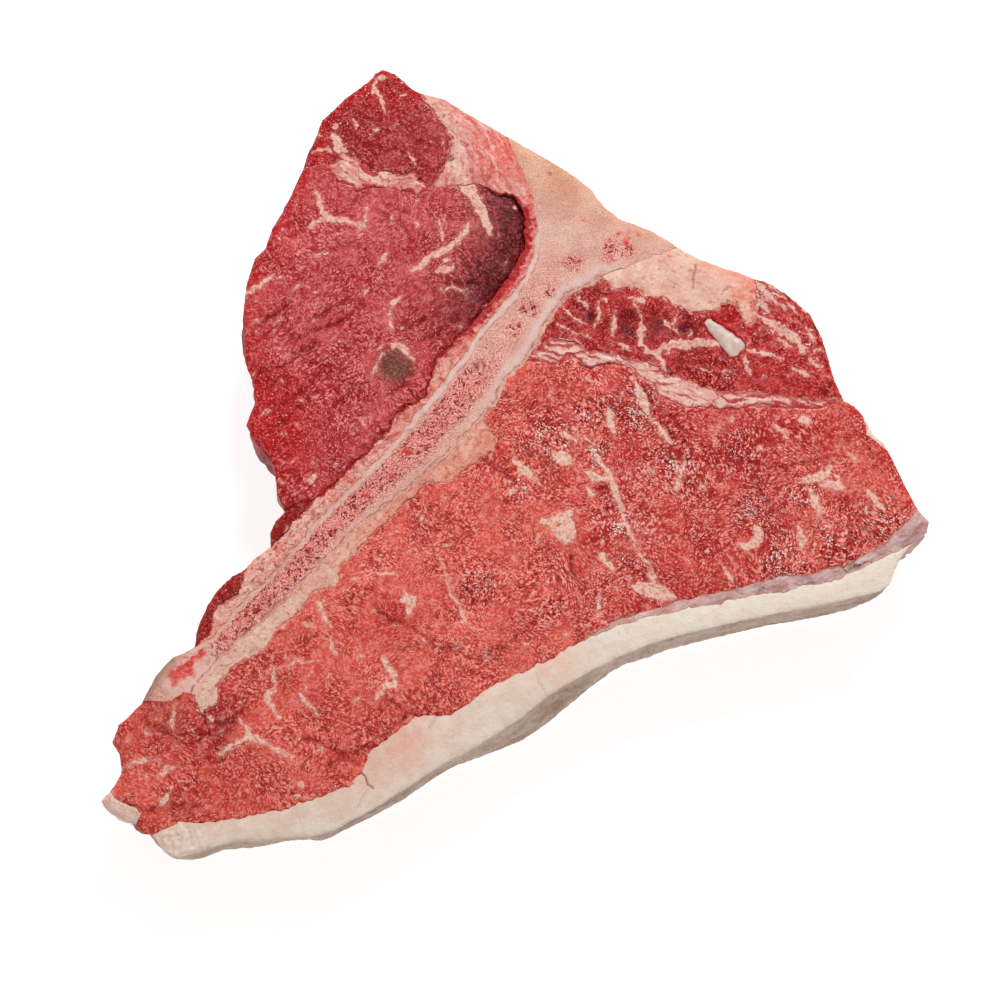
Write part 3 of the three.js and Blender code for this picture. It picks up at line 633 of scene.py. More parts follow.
def bone_material():
    """Pinkish cream bone: speckled brown and red where it is spongy, tan at the head, lilac grey where it
    is compact, with thin blood lines along the stem."""
    material, tree, shader = new_material("sawn_bone")
    place = object_place(tree)
    spongy = attribute(tree, "spongy")
    worms = noise(tree, fibre_place(tree, 1.3), 0.75, 2.0, 0.6, 0.7)
    mottle = ramp(tree, noise(tree, place, 6.0, 3.0), 0.36, 0.64)
    colour = blended(tree, mottle, seen(212, 162, 148), seen(228, 182, 166))
    warm = ramp(tree, noise(tree, place, 8.0, 4.0, 0.6), 0.35, 0.65)
    tan = blended(tree, warm, seen(208, 144, 112), seen(224, 174, 148))
    head = attribute(tree, "head")
    colour = blended(tree, head, colour, tan)
    colour = blended(tree, maths(tree, "MULTIPLY", spongy, 0.85), colour, seen(242, 130, 120))
    grain = noise(tree, place, 0.45, 2.0, 0.7)
    grainy = ramp(tree, spongy, 0.0, 0.5, 0.36, 0.72)
    light = maths(tree, "MULTIPLY", ramp(tree, grain, 0.5, 0.62), grainy)
    colour = blended(tree, light, colour, seen(246, 208, 194))
    dark = maths(tree, "MULTIPLY", ramp(tree, grain, 0.49, 0.38), grainy)
    colour = blended(tree, dark, colour, blended(tree, head, seen(166, 74, 70), seen(190, 114, 78)))
    colour = blended(tree, maths(tree, "MULTIPLY", attribute(tree, "tip"), 0.8), colour, seen(252, 196, 182))
    colour = blended(tree, maths(tree, "MULTIPLY", attribute(tree, "compact"), 0.8), colour, seen(228, 200, 194))
    drops = ramp(tree, noise(tree, place, 2.2, 2.0, 0.6, 0.6), 0.59, 0.66, 0.0, 0.85)
    colour = blended(tree, maths(tree, "MULTIPLY", drops, spongy), colour, seen(180, 54, 54))
    spread = ramp(tree, noise(tree, place, 4.0, 2.0), 0.35, 0.6, 0.03, -0.02)
    holes = ramp(tree, maths(tree, "SUBTRACT", worms, spread), 0.555, 0.59)
    holes = maths(tree, "MULTIPLY", holes, ramp(tree, spongy, 0.25, 0.75))
    colour = blended(tree, maths(tree, "MULTIPLY", holes, 0.9), colour, seen(118, 30, 26))
    broken = ramp(tree, noise(tree, place, 1.6, 3.0), 0.35, 0.6)
    bleeding = maths(tree, "MULTIPLY", attribute(tree, "thread"), broken)
    colour = blended(tree, maths(tree, "MULTIPLY", bleeding, 0.8), colour, seen(170, 62, 58))
    clot = maths(tree, "MULTIPLY", maths(tree, "SUBTRACT", noise(tree, place, 2.2, 3.0, 0.6), 0.5), 2.6)
    bloody = ramp(tree, maths(tree, "ADD", attribute(tree, "blood"), clot), 0.15, 0.85, 0.0, 0.95)
    bloody = maths(tree, "MULTIPLY", bloody, ramp(tree, attribute(tree, "blood"), 0.02, 0.2))
    bloody = maths(tree, "MULTIPLY", bloody, ramp(tree, grain, 0.35, 0.55, 0.7, 1.0))
    red = blended(tree, ramp(tree, noise(tree, place, 1.3, 3.0, 0.7), 0.4, 0.6), seen(208, 36, 36), seen(238, 104, 92))
    colour = blended(tree, bloody, colour, red)
    colour = blended(tree, maths(tree, "MULTIPLY", attribute(tree, "membrane"), 0.8), colour, seen(158, 116, 96))
    skin, skin_height, on_skin = outer_side(
        tree, seen(206, 164, 138), seen(176, 124, 104), seen(222, 190, 172), seen(132, 58, 48), 0.5)
    colour = blended(tree, on_skin, colour, skin)
    tree.links.new(colour, shader.inputs["Base Color"])
    rough = ramp(tree, noise(tree, place, 2.0), 0.3, 0.7, 0.42, 0.6)
    tree.links.new(rough, shader.inputs["Roughness"])
    shader.inputs["Specular IOR Level"].default_value = 0.12
    depth = maths(tree, "SUBTRACT", maths(tree, "MULTIPLY", grain, 0.5), maths(tree, "MULTIPLY", holes, 0.6))
    depth = maths(tree, "ADD", depth, maths(tree, "MULTIPLY", skin_height, on_skin))
    bump = add_node(tree, "ShaderNodeBump", {"Strength": 0.45, "Distance": 0.0003, "Height": depth})
    tree.links.new(bump.outputs[0], shader.inputs["Normal"])
    return material


bone = cut_slice(
    "bone_piece",
    ["tip_rim", "-stem_left", "-head_side", "head_rim"],
    ["tip_side", "-stem_right", "stem_meat", "seam_root", "chine_side", "arm_under"],
    [(1, 1.05), (1.75, 2), (2, 4.6), (3, 5), (3.5, 5.25), (3.69, 5.6)],
    0.58, bone_relief, bone_marks, 45, swell=0.2, rim_drop=0.7, wall_waves=0.45)
placed(bone, "bone", bone_material())

# The fillet
# The large, fine-grained dark rose muscle left of the bone. It was sliced with the bone, and its
# face falls away into a hollow along the bone, darkened purple partly by painted shade.
seam["fillet_foot"] = [(-57.5, -16), (-62, -16.5), (-65.2, -18.7)]
seam["fillet_side"] = [(0.8, 76.5), (3.3, 70), (2.7, 59), (-3.5, 49), (-11, 38.5), (-18.5, 30.3),
                       (-22.5, 26.7), (-25.3, 16), (-34, 9.5), (-36, 5.5), (-44.5, -3.5),
                       (-52.5, -12), (-57.5, -16)]
seam["fillet_crown"] = [(-24.5, 78.2), (-20, 79.6), (-14, 79.5), (-10.5, 80.3), (-5, 77.8), (0.8, 76.5)]
seam["fillet_top"] = [(-61.8, 85.2), (-55, 84.2), (-50, 80.5), (-46, 78.3), (-42, 79.4), (-37, 79.3),
                      (-28.5, 77.2), (-24.5, 78.2)]


FRAYED = 0.12


def streak_field(places, streaks, seed):
    """The distance to the nearest streak's middle line less half its solid width, which leaves out the
    frayed part of each edge, so below zero inside it. The width tapers to both ends, and a fine drift
    shakes the places first."""
    shake = np.stack([ripple(places, 1.4, 4.0, seed), ripple(places, 1.4, 4.0, seed + 1)], axis=-1)
    shaken = places + 0.32 * shake
    field = np.full(places.shape[:-1], 4.0)
    for width, line in streaks:
        line = np.asarray(line if len(line) > 1 else [line[0], line[0]], float)
        near = np.all((shaken > line.min(axis=0) - 4) & (shaken < line.max(axis=0) + 4), axis=-1)
        spots = shaken[near]
        lengths = np.hypot(*np.diff(line, axis=0).T)
        total = max(lengths.sum(), 1e-6)
        taper = 0.6 if total > 1 else 0.0
        done = 0.0
        best = np.full(len(spots), 4.0)
        for start, end, length in zip(line[:-1], line[1:], lengths):
            run = end - start
            part = np.clip(((spots - start) @ run) / max(run @ run, 1e-12), 0, 1)
            away = np.hypot(*(spots - start - part[:, None] * run).T)
            bulk = np.sin(np.pi * np.clip((done + part * length) / total, 0, 1)) ** 0.7
            best = np.minimum(best, away - np.maximum(width / 2 * (1 - taper + taper * bulk) - FRAYED, 0.1))
            done += length
        field[near] = np.minimum(field[near], best)
    return field


def scattered(seed, count, low, high, longest, widest):
    """Short streaks of random place, heading, length and width inside a box."""
    dice = np.random.default_rng(seed)
    middle = low + (np.array(high) - low) * dice.random((count, 2))
    heading = dice.random(count) * 2 * np.pi
    half = longest / 2 * dice.random(count) ** 1.5
    step = np.stack([np.cos(heading), np.sin(heading)], axis=-1) * half[:, None]
    width = widest * (0.45 + 0.55 * dice.random(count))
    return [(float(one), [tuple(start), tuple(end)]) for one, start, end in zip(width, middle - step, middle + step)]


def meat_marks(places, streaks, creases, fat_seams, seed):
    """What every meat's mesh holds: the streak field of its fat, the distance to the seams where fat and
    meat run into each other, the field and the soft shade of its creases, and blank fields for tone,
    blush, bruise with painted shade, spot and wetness, which also places the painted glints."""
    groove = streak_field(places, creases, seed + 2)
    crease = 0.65 * np.exp(-(np.maximum(groove, 0) / 0.7) ** 2)
    fringe = np.min([distance_to(places, seam[name]) for name in fat_seams], axis=0) if fat_seams else 9.0
    blank = np.zeros(places.shape[:-1])
    return {"streak": streak_field(places, streaks, seed), "fringe": fringe + blank, "crease_and_shade": crease, "groove": groove,
            "tone": blank + 0.5, "blush": blank, "bruise_and_shade": blank, "spot": blank, "wet": blank + 0.03}


def torn_edge_group():
    """Turns a distance in millimetres into a mask whose edge is torn by two sizes of noise."""
    group, given, result = new_group(
        "torn_edge", [("Distance", 0.0), ("Raggedness", 1.0), ("Softness", 0.2)], [("Mask", "NodeSocketFloat")])
    place = object_place(group)
    coarse = maths(group, "SUBTRACT", noise(group, place, 1.7, 2.0, 0.6), 0.5)
    fine = maths(group, "SUBTRACT", noise(group, place, 0.55, 2.0, 0.6), 0.5)
    torn = maths(group, "ADD", maths(group, "MULTIPLY", coarse, 2.6), maths(group, "MULTIPLY", fine, 2.0))
    moved = maths(group, "ADD", given["Distance"], maths(group, "MULTIPLY", torn, given["Raggedness"]))
    inner = maths(group, "MULTIPLY", given["Softness"], -1.0)
    group.links.new(ramp(group, moved, inner, given["Softness"], 1.0, 0.0), result["Mask"])
    return group


TORN_EDGE = torn_edge_group()


def torn(tree, distance, raggedness, softness=0.2):
    """A torn-edged mask from a distance in millimetres, below zero inside."""
    made = add_node(tree, "ShaderNodeGroup", node_tree=TORN_EDGE)
    tree.links.new(distance, made.inputs["Distance"])
    made.inputs["Raggedness"].default_value = raggedness
    made.inputs["Softness"].default_value = softness
    return made.outputs[0]


def cut_meat_group():
    """Raw meat: slow patches from bright to deep, finer mottling, short pale and dark dashes along the
    fibres, crimson lines between bundles of fibres, white glints painted in as highlights where it is
    wet, streaks of fat, and a ragged fringe of fat along the seams."""
    group, given, result = new_group(
        "cut_meat", [("Bright", (0.5, 0.1, 0.1, 1.0)), ("Deep", (0.3, 0.05, 0.05, 1.0)),
                     ("Pale", (0.7, 0.3, 0.3, 1.0)), ("Fat", (0.8, 0.6, 0.5, 1.0)), ("Fringe", 0.8)],
        [("Color", "NodeSocketColor"), ("Height", "NodeSocketFloat"), ("Wet", "NodeSocketFloat")])
    place = object_place(group)
    crimson = seen(144, 8, 24)
    drying = ramp(group, noise(group, place, 3.2, 3.0, 0.6), 0.4, 0.6)
    wet = maths(group, "MULTIPLY", attribute(group, "wet"), drying)
    slow = maths(group, "MULTIPLY", maths(group, "SUBTRACT", noise(group, place, 15.0, 3.0, 0.62), 0.5), 2.2)
    tone = maths(group, "ADD", attribute(group, "tone"), slow, clamp=True)
    colour = blended(group, tone, given["Bright"], given["Deep"])
    middle = noise(group, place, 2.8, 3.0, 0.65, 0.4)
    colour = blended(group, ramp(group, middle, 0.5, 0.68, 0.0, 0.45), colour, given["Deep"])
    colour = blended(group, ramp(group, middle, 0.47, 0.32, 0.0, 0.25), colour, given["Pale"])
    blush = attribute(group, "blush")
    colour = blended(group, blush, colour, seen(192, 28, 30))
    soaked = ramp(group, wet, 0.25, 0.75, 0.0, 0.85)
    colour = blended(group, soaked, colour, seen(158, 24, 32))
    patchy = noise(group, place, 10.0, 2.0)
    rougher = maths(group, "MULTIPLY", attribute(group, "wet"), 0.6)
    coarse = maths(group, "ADD", ramp(group, patchy, 0.38, 0.62, 0.34, 0.76), rougher, clamp=True)
    bundles = add_node(group, "ShaderNodeTexVoronoi", {"Vector": fibre_place(group, 1.15), "Scale": 1750.0})
    tint = add_node(group, "ShaderNodeSeparateXYZ", {0: bundles.outputs["Color"]}).outputs["X"]
    grain = maths(group, "SUBTRACT", maths(group, "MULTIPLY", tint, 0.28),
                  maths(group, "MULTIPLY", bundles.outputs["Distance"], 0.3))
    fibre = maths(group, "MULTIPLY", noise(group, fibre_place(group, 1.2), 0.5, 1.0, 0.5, 0.1), 0.75)
    fibre = maths(group, "ADD", fibre, maths(group, "ADD", grain, 0.12))
    pale = maths(group, "MULTIPLY", ramp(group, fibre, 0.52, 0.64, 0.0, 0.95), coarse)
    pale = maths(group, "MULTIPLY", pale, ramp(group, blush, 0.2, 0.8, 1.0, 0.5))
    colour = blended(group, pale, colour, given["Pale"])
    shade = blended(group, 0.75, given["Deep"], seen(112, 4, 14))
    dark = maths(group, "MULTIPLY", ramp(group, fibre, 0.475, 0.35), coarse)
    colour = blended(group, dark, colour, shade)
    between = lines(group, fibre_place(group, 3.2), 3.4, 0.03)
    folds = maths(group, "MULTIPLY", between, ramp(group, patchy, 0.47, 0.58, 0.0, 0.6))
    colour = blended(group, folds, colour, crimson)
    wisps = maths(group, "MULTIPLY", lines(group, place, 6.0, 0.014), ramp(group, patchy, 0.52, 0.42, 0.0, 0.5))
    colour = blended(group, wisps, colour, seen(226, 150, 138))
    broken = ramp(group, middle, 0.36, 0.5, 0.6, 1.0)
    # Crimson lines of the creases, and the lines of painted shade that this mark also holds.
    colour = blended(group, maths(group, "MULTIPLY", attribute(group, "crease_and_shade"), broken), colour, crimson)
    grooves = maths(group, "MULTIPLY", torn(group, attribute(group, "groove"), 0.35, 0.2),
                    ramp(group, middle, 0.4, 0.52, 0.3, 0.9))
    colour = blended(group, grooves, colour, seen(124, 4, 16))
    # Dark purple: the meat's own colour where bruised, and in the fillet's hollow also painted shade.
    purple = blended(group, ramp(group, fibre, 0.38, 0.66), seen(66, 6, 14), seen(136, 44, 52))
    colour = blended(group, attribute(group, "bruise_and_shade"), colour, purple)
    olive = blended(group, ramp(group, fibre, 0.4, 0.62), seen(90, 58, 46), seen(122, 84, 70))
    colour = blended(group, attribute(group, "spot"), colour, olive)
    flecks = ramp(group, noise(group, place, 1.1, 2.0, 0.6, 0.8), 0.69, 0.75, 0.0, 0.8)
    colour = blended(group, flecks, colour, seen(232, 172, 158))
    # Painted highlights: white glints put into the colour where the meat is wet, standing in for the lamp's reflection.
    shine = maths(group, "ADD", noise(group, fibre_place(group, 1.3), 0.45, 1.0, 0.5, 0.5),
                  maths(group, "MULTIPLY", wet, 0.2))
    painted_glints = maths(group, "MULTIPLY", ramp(group, shine, 0.75, 0.785), ramp(group, attribute(group, "bruise_and_shade"), 0.1, 0.6, 1.0, 0.2))
    colour = blended(group, painted_glints, colour, seen(255, 226, 216))
    side_light = blended(group, 0.5, given["Bright"], seen(134, 38, 36))
    side_dark = blended(group, 0.6, given["Deep"], seen(92, 18, 22))
    side_film = blended(group, 0.4, given["Pale"], seen(186, 122, 112))
    wall, wall_height, on_wall = outer_side(group, side_light, side_dark, side_film, seen(74, 8, 14), 0.42)
    colour = blended(group, on_wall, colour, wall)
    solid = ramp(group, noise(group, place, 1.4, 3.0, 0.6), 0.32, 0.46, 0.55, 1.0)
    solid = maths(group, "MULTIPLY", solid, ramp(group, on_wall, 0.0, 1.0, 1.0, 0.4))
    near = ramp(group, attribute(group, "streak"), 1.0, 0.0, 0.0, 0.22)
    colour = blended(group, near, colour, given["Pale"])
    streaks = maths(group, "MULTIPLY", torn(group, attribute(group, "streak"), 0.45, 0.2), solid)
    ragged = maths(group, "SUBTRACT", attribute(group, "fringe"), maths(group, "MULTIPLY", given["Fringe"], 0.2))
    fringe = torn(group, maths(group, "DIVIDE", ragged, given["Fringe"]), 0.9, 0.3)
    fringe = maths(group, "MULTIPLY", fringe, 0.75)
    worn = ramp(group, noise(group, place, 0.8, 2.0, 0.6), 0.45, 0.62)
    fat = blended(group, worn, given["Fat"], seen(218, 148, 132))
    colour = blended(group, maths(group, "MULTIPLY", maths(group, "MAXIMUM", streaks, fringe), 0.93), colour, fat)
    group.links.new(colour, result["Color"])
    height = maths(group, "ADD", maths(group, "MULTIPLY", fibre, 0.6), maths(group, "MULTIPLY", middle, 1.3))
    height = maths(group, "SUBTRACT", height, maths(group, "MULTIPLY", folds, 0.5))
    height = maths(group, "ADD", height, maths(group, "MULTIPLY", wall_height, on_wall))
    group.links.new(maths(group, "ADD", height, maths(group, "MULTIPLY", streaks, 0.25)), result["Height"])
    group.links.new(wet, result["Wet"])
    return group


CUT_MEAT = cut_meat_group()


def meat_material(name, bright, deep, pale, fat, fringe=0.8, gloss=0.14):
    """The cut meat's look in one muscle's own colours, damp and a little glossy."""
    material, tree, shader = new_material(name)
    look = add_node(tree, "ShaderNodeGroup", node_tree=CUT_MEAT)
    for socket, value in (("Bright", bright), ("Deep", deep), ("Pale", pale), ("Fat", fat), ("Fringe", fringe)):
        look.inputs[socket].default_value = value
    tree.links.new(look.outputs["Color"], shader.inputs["Base Color"])
    damp = ramp(tree, noise(tree, object_place(tree), 5.0, 2.0), 0.35, 0.65, 0.38, 0.52)
    rough = maths(tree, "SUBTRACT", damp, maths(tree, "MULTIPLY", look.outputs["Wet"], 0.14))
    tree.links.new(rough, shader.inputs["Roughness"])
    shader.inputs["Specular IOR Level"].default_value = 0.13
    coat = maths(tree, "MULTIPLY", ramp(tree, look.outputs["Wet"], 0.1, 0.8), gloss)
    tree.links.new(coat, shader.inputs["Coat Weight"])
    shader.inputs["Coat Roughness"].default_value = 0.24
    bump = add_node(tree, "ShaderNodeBump", {
        "Strength": 0.5, "Distance": 0.00032, "Height": look.outputs["Height"]})
    tree.links.new(bump.outputs[0], shader.inputs["Normal"])
    return material


FILLET_STREAKS = [
    (1.6, [(-60.5, 66.5), (-58, 68.5), (-54, 69.3), (-49, 68.8), (-43, 66.5)]),
    (1.2, [(-54.5, 69.5), (-56.5, 73), (-58, 78)]), (0.8, [(-43, 71), (-44, 68)]),
    (1.9, [(-78.5, 46), (-74, 48.5), (-70, 52.5)]),
    (2.3, [(-30, 53), (-27, 55), (-24, 58), (-20, 60), (-17, 62), (-15, 65), (-13, 68)]),
    (2.4, [(-22.5, 53.5), (-18, 54)]), (1.6, [(-19.5, 57)]), (1.0, [(-37, 60), (-38.5, 57), (-39.5, 54.5)]),
    (1.0, [(-44, 46), (-42, 48)]), (1.0, [(-64, 47), (-62, 50)]),
    (1.6, [(-32.5, 46), (-35.5, 43)]), (1.1, [(-35.5, 43), (-36, 38), (-35, 33)]),
    (1.8, [(-36, 31), (-32, 30), (-29, 26)]), (0.9, [(-38, 28), (-41.5, 20)]),
    (1.1, [(-21, 47), (-18, 48.5), (-14.5, 47.5), (-14, 45)]),
    (1.0, [(-44, 20.5)]), (1.0, [(-57, 15)]), (1.1, [(-62, 7)]), (1.4, [(-22, 69), (-20.5, 62)]),
    (4.6, [(-15, 82), (-12.5, 77)]), (3.2, [(-13.5, 80), (-10.5, 74), (-9, 71), (-7, 65)]),
    (2.6, [(-57.5, -9)]), (1.2, [(-58, 58), (-54, 59)]), (0.8, [(-29, 70), (-28, 66)]),
]
FILLET_CREASES = [
    (0.8, [(-74, 37), (-68, 41), (-65, 44)]), (0.6, [(-73, 33.5), (-68, 37)]),
    (1.0, [(-66, 31), (-57, 35.5), (-50, 38), (-44, 43)]), (0.7, [(-64, 28), (-56, 32)]),
    (0.7, [(-60, 38), (-53, 42), (-48, 45)]), (1.0, [(-68, 12), (-60, 18), (-54, 25)]),
    (0.7, [(-70, 6), (-63, 11), (-57, 17)]), (0.7, [(-74, 22), (-66, 25), (-61, 28)]),
    (0.7, [(-72, 17), (-66, 21)]), (1.6, [(-66.5, 8)]), (0.6, [(-52, 12), (-46, 18), (-40, 21)]),
    (0.6, [(-55, 58), (-50, 62), (-43, 60)]), (0.9, [(-38, 15), (-32, 19), (-30, 24)]),
    (0.9, [(-28, 32), (-22, 35), (-16, 40)]), (0.8, [(-33, 35), (-27, 38), (-22, 42)]),
    (0.7, [(-40, 72), (-33, 68), (-29, 62)]), (0.6, [(-37, 74), (-31, 71)]), (0.6, [(-48, 74), (-44, 77)]),
]


def fillet_marks(places):
    """The streaks of fat, the creases, the purple hollow beside the bone, partly painted shade, a dark line of painted
    shade along the seam with the bone's band, and the olive spot.
    """
    flecks = scattered(401, 130, (-80, -20), (3, 85), 2.2, 0.95)
    marks = meat_marks(places, FILLET_STREAKS + flecks, FILLET_CREASES, ["fillet_top", "fillet_crown"], 411)
    hollow = np.exp(-(distance_to(places, [(2, 74), (1.5, 60), (-6, 46), (-12, 38)]) / 12.5) ** 2)
    hollow = hollow * np.clip((places[..., 1] - 27) / 22, 0, 1)
    gap = np.minimum(distance_to(places, seam["fillet_side"]), distance_to(places, seam["fillet_foot"]))
    dark = ripple(places, 2, 6, 402)
    outer = np.exp(-(distance_to(places, seam["fillet_rim"]) / 7.5) ** 1.5)
    marks["hollow"] = hollow
    marks["gap"] = np.exp(-(gap / (1.2 + 0.5 * ripple(places, 2, 7, 403))) ** 2)
    # Dark purple in the hollow: partly the meat's own colour, partly painted shade where the face sinks towards the
    # bone.
    marks["bruise_and_shade"] = np.clip(1.1 * hollow + 0.2 * hollow * dark, 0, 0.92)
    marks["spot"] = 0.85 * patch(places, (-34.5, 24.5), 7.4, 0.6)
    # Painted shade: a dark crimson line along the seam with the bone's band, where the face drops away.
    marks["crease_and_shade"] = np.clip(np.maximum(0.85 * marks["crease_and_shade"], (0.9 + 0.2 * dark) * marks["gap"]), 0, 1)
    marks["blush"] = np.clip(0.75 * outer * (0.8 + 0.3 * dark) + 0.75 * patch(places, (-68, 8), 26), 0, 0.85)
    marks["tone"] = np.clip(0.4 + (places[..., 1] - 40) / 400 - 0.35 * patch(places, (-60, 62), 18)
                            + 0.3 * patch(places, (-52, 12), 20) + 0.2 * dark, 0, 1)
    marks["wet"] = np.clip(0.05 + 0.25 * patch(places, (-68, 8), 26) + 0.12 * hollow, 0, 1)
    return marks


def fillet_relief(places, edge, shown):
    """Slow waves, furrows at the creases, and the face sinking towards the bone."""
    return (0.28 * ripple(places, 10, 32, 41) + 0.06 * ripple(places, 2.2, 6, 42)
            - 1.3 * shown["hollow"] - 0.25 * shown["crease_and_shade"] - 0.5 * shown["gap"] + 0.05 * (shown["streak"] < 0))


fillet = cut_slice(
    "fillet_piece", ["fillet_rim"], ["-fillet_foot", "-fillet_side", "-fillet_crown", "-fillet_top"],
    [(0.1, 1), (0.62, 2), (0.78, 3)], 0.6, fillet_relief, fillet_marks, 35, swell=0.4)
fillet_meat = meat_material(
    "fillet_meat", seen(211, 90, 91), seen(170, 38, 46), seen(236, 150, 146), seen(236, 194, 178), 0.5)
placed(fillet, "fillet", fillet_meat)

# The strip loin
# The largest muscle, coral red and marbled, from its thick end at the right to the tail. It was sliced
# like the fillet, and its right half is wetter and coarser.
seam["stem_fat_edge"] = [(-9, 9), (-5, 1.5), (-6, -1), (-19, -10), (-25, -10.8), (-34, -19), (-42, -27),
                         (-44.5, -31.2), (-49, -34), (-50.3, -40.7), (-57.5, -42.7), (-62.3, -50),
                         (-66, -51.5), (-70.5, -59), (-79, -63.5), (-84, -69), (-83.8, -74),
                         (-88.5, -77.5), (-90.5, -71.5)]
seam["seam_low"] = [(3.5, 26), (12, 25.2), (16.3, 28), (22, 24), (25.5, 25.6), (33, 25), (36.5, 21),
                    (40, 19), (42, 15.5), (50, 12.3), (65, 12.2), (80, 12), (87, 11.2), (95, 14.6)]
seam["scrap_side"] = [(100.5, 10), (101.2, 4), (107.5, -1.3)]
seam["skin_upper"] = [(18, -57), (29, -50.5), (48, -44.5), (61, -42), (75, -38), (83, -37.3),
                      (95, -34.5), (107, -27), (115.3, -18)]
seam["cap_upper"] = [(-101.5, -111.2), (-94, -107.8), (-85, -108), (-65, -105), (-46, -98), (-42.3, -94),
                     (-41.5, -89), (-33, -82.5), (-28, -78.5), (-18, -77.8), (-6, -69.5), (6, -64),
                     (18, -57)]
seam["tail_side"] = [(-113.8, -98.7), (-112, -101.3), (-108.5, -103.4), (-105.3, -105.3), (-106.7, -108.3)]

LOIN_STREAKS = [
    (2.6, [(0, -3.5), (3, -7), (6.5, -9.5)]), (3.8, [(11.5, -1.5), (16, -4.5)]),
    (2.4, [(-1, -13)]), (2.0, [(3, -12)]), (2.6, [(20.5, -7.5), (24, -9.3), (28, -9.4)]),
    (1.6, [(20.5, -12), (23, -14.5)]), (1.6, [(14, 4.5), (18, 1.8)]),
    (1.3, [(17, 4), (21, 2.5), (22, 0), (24, -3.5), (27, -7), (28, -10.5), (29, -14.5), (31, -19.5),
           (33, -25.5), (35, -31), (38.5, -35), (40, -39)]),
    (1.9, [(28, -9), (29, -14), (31, -19)]), (4.2, [(34, -41), (39, -42), (45, -44)]),
    (1.6, [(38.5, -35), (39, -41)]),
    (3.0, [(7, -22), (12, -21.5), (16.5, -19)]), (4.6, [(14.5, -21), (16, -27.5)]), (2.6, [(10.5, -23.5), (15, -28)]),
    (2.2, [(24, -31), (28, -35.5)]), (1.6, [(24, -43), (24, -50)]), (2.2, [(27, 12), (28.5, 4)]),
    (2.6, [(35, 19.5), (38.5, 10)]), (1.6, [(40, 8), (45, 1)]), (1.9, [(49, -3), (46, -13)]),
    (1.6, [(38, -5.5), (40, -7)]), (1.2, [(39.5, -16)]), (1.0, [(51.5, -18.5)]),
    (0.9, [(56, 7), (57.5, 3)]), (0.9, [(59, 8), (57.5, 3), (58, 0)]),
    (1.2, [(76, 0)]), (1.4, [(75, 7), (78, 3)]),
    (2.4, [(64, -28.5), (66, -29.5), (69, -27.5), (70, -24.5), (68.5, -23.5)]),
    (1.6, [(59.5, -35), (61.5, -39.5)]),
    (2.2, [(82, -9.5), (86, -9), (89, -8.5), (90.5, -5.5)]), (2.4, [(92, -8), (93, -11.5), (88, -11)]),
    (2.3, [(84, -12), (87.5, -19.5)]), (2.2, [(81, -23), (82, -29)]), (2.4, [(101, -13), (105, -18)]),
    (1.2, [(95.5, -1), (97, -3)]), (2.4, [(82, 9), (85, 8)]),
    (2.4, [(-31.5, -42.5), (-29, -45), (-30, -49.5)]), (1.9, [(-33, -45.5), (-28, -44)]),
    (1.2, [(-39.5, -37), (-33, -37)]),
    (1.0, [(-21, -34), (-19, -39), (-18, -43), (-16, -46), (-13.5, -51), (-11, -54)]),
    (1.8, [(-37, -60.5), (-36, -64), (-33.5, -67), (-34, -69.5), (-36.5, -69.5), (-39, -74)]),
    (1.3, [(-51.5, -55), (-51.5, -59), (-50, -61)]),
    (1.4, [(-56, -43), (-55, -47), (-53, -51), (-52, -53)]), (1.2, [(-60, -51.5), (-57, -52.5)]),
    (0.9, [(-68, -64.5), (-62, -62.5), (-55, -62.5)]),
    (1.8, [(-68.5, -64), (-67.5, -70), (-70, -72), (-69, -75), (-66, -79)]),
    (1.4, [(-60.5, -72), (-58, -75), (-55.5, -77.5)]),
    (1.6, [(-77.5, -78.5), (-75, -81), (-74, -84), (-71, -85), (-68, -87), (-62.5, -90)]),
    (1.3, [(-75, -84), (-80, -87), (-83.5, -89)]),
    (1.0, [(-96, -75), (-96.5, -79), (-96, -83)]), (1.0, [(-82.5, -79)]),
    (1.1, [(-110.5, -92.5), (-107, -91), (-100, -90.5)]), (1.4, [(-100, -95), (-97.5, -93), (-95, -92)]),
    (1.2, [(-96.5, -98)]), (1.2, [(-60, -97), (-59.5, -99)]), (1.2, [(-62, -101.5), (-60, -101.5)]),
    (1.8, [(-100, -103), (-97, -100)]),
]
LOIN_CREASES = [
    (0.8, [(16, -29), (16.5, -39)]), (1.6, [(24, -12), (26.5, -12)]),
    (0.7, [(-90, -76), (-86, -80), (-80, -80), (-76, -75)]), (0.6, [(-104, -80), (-95, -83), (-87, -83)]),
    (0.8, [(-40, -46), (-36, -50), (-30, -52)]), (0.7, [(-52, -92), (-40, -86), (-28, -76)]),
    (0.7, [(-16, 0), (-8, -4), (0, -10)]), (0.6, [(-60, -84), (-50, -88), (-44, -92)]),
    (0.5, [(-33, -59), (-24, -57.7), (-20, -59), (-15, -58)]), (0.4, [(-30, -52), (-24, -57)]),
    (0.5, [(-37, -73), (-30, -77), (-25, -79)]), (0.4, [(-12, -62), (-2, -58), (6, -50)]),
    (0.5, [(69, -9), (70.5, -13), (74.5, -19.5)]), (0.8, [(95, -22.5), (100, -24), (104, -26), (108.5, -28)]),
    (0.6, [(-103, -104.5), (-97, -102)]), (0.4, [(30, 18), (42, 12), (50, 4)]), (0.4, [(60, -2), (74, -6), (90, -3)]),
    (0.4, [(-100, -82), (-92, -86), (-86, -84)]), (0.4, [(0, 2), (8, -3), (12, -8)]),
]
LOIN_WET = [((10, 3), 9), ((22, 11), 7), ((35, 12), 8), ((46, -6), 9), ((67.5, -19), 6), ((82, -14), 5),
            ((104, -22), 8), ((76, -32), 8), ((31.5, -36), 6), ((-10, -40), 6), ((66, 1), 5),
            ((92, -28), 9), ((10, -48), 4), ((30, -22), 7), ((23, -1), 5), ((0, -12), 5)]


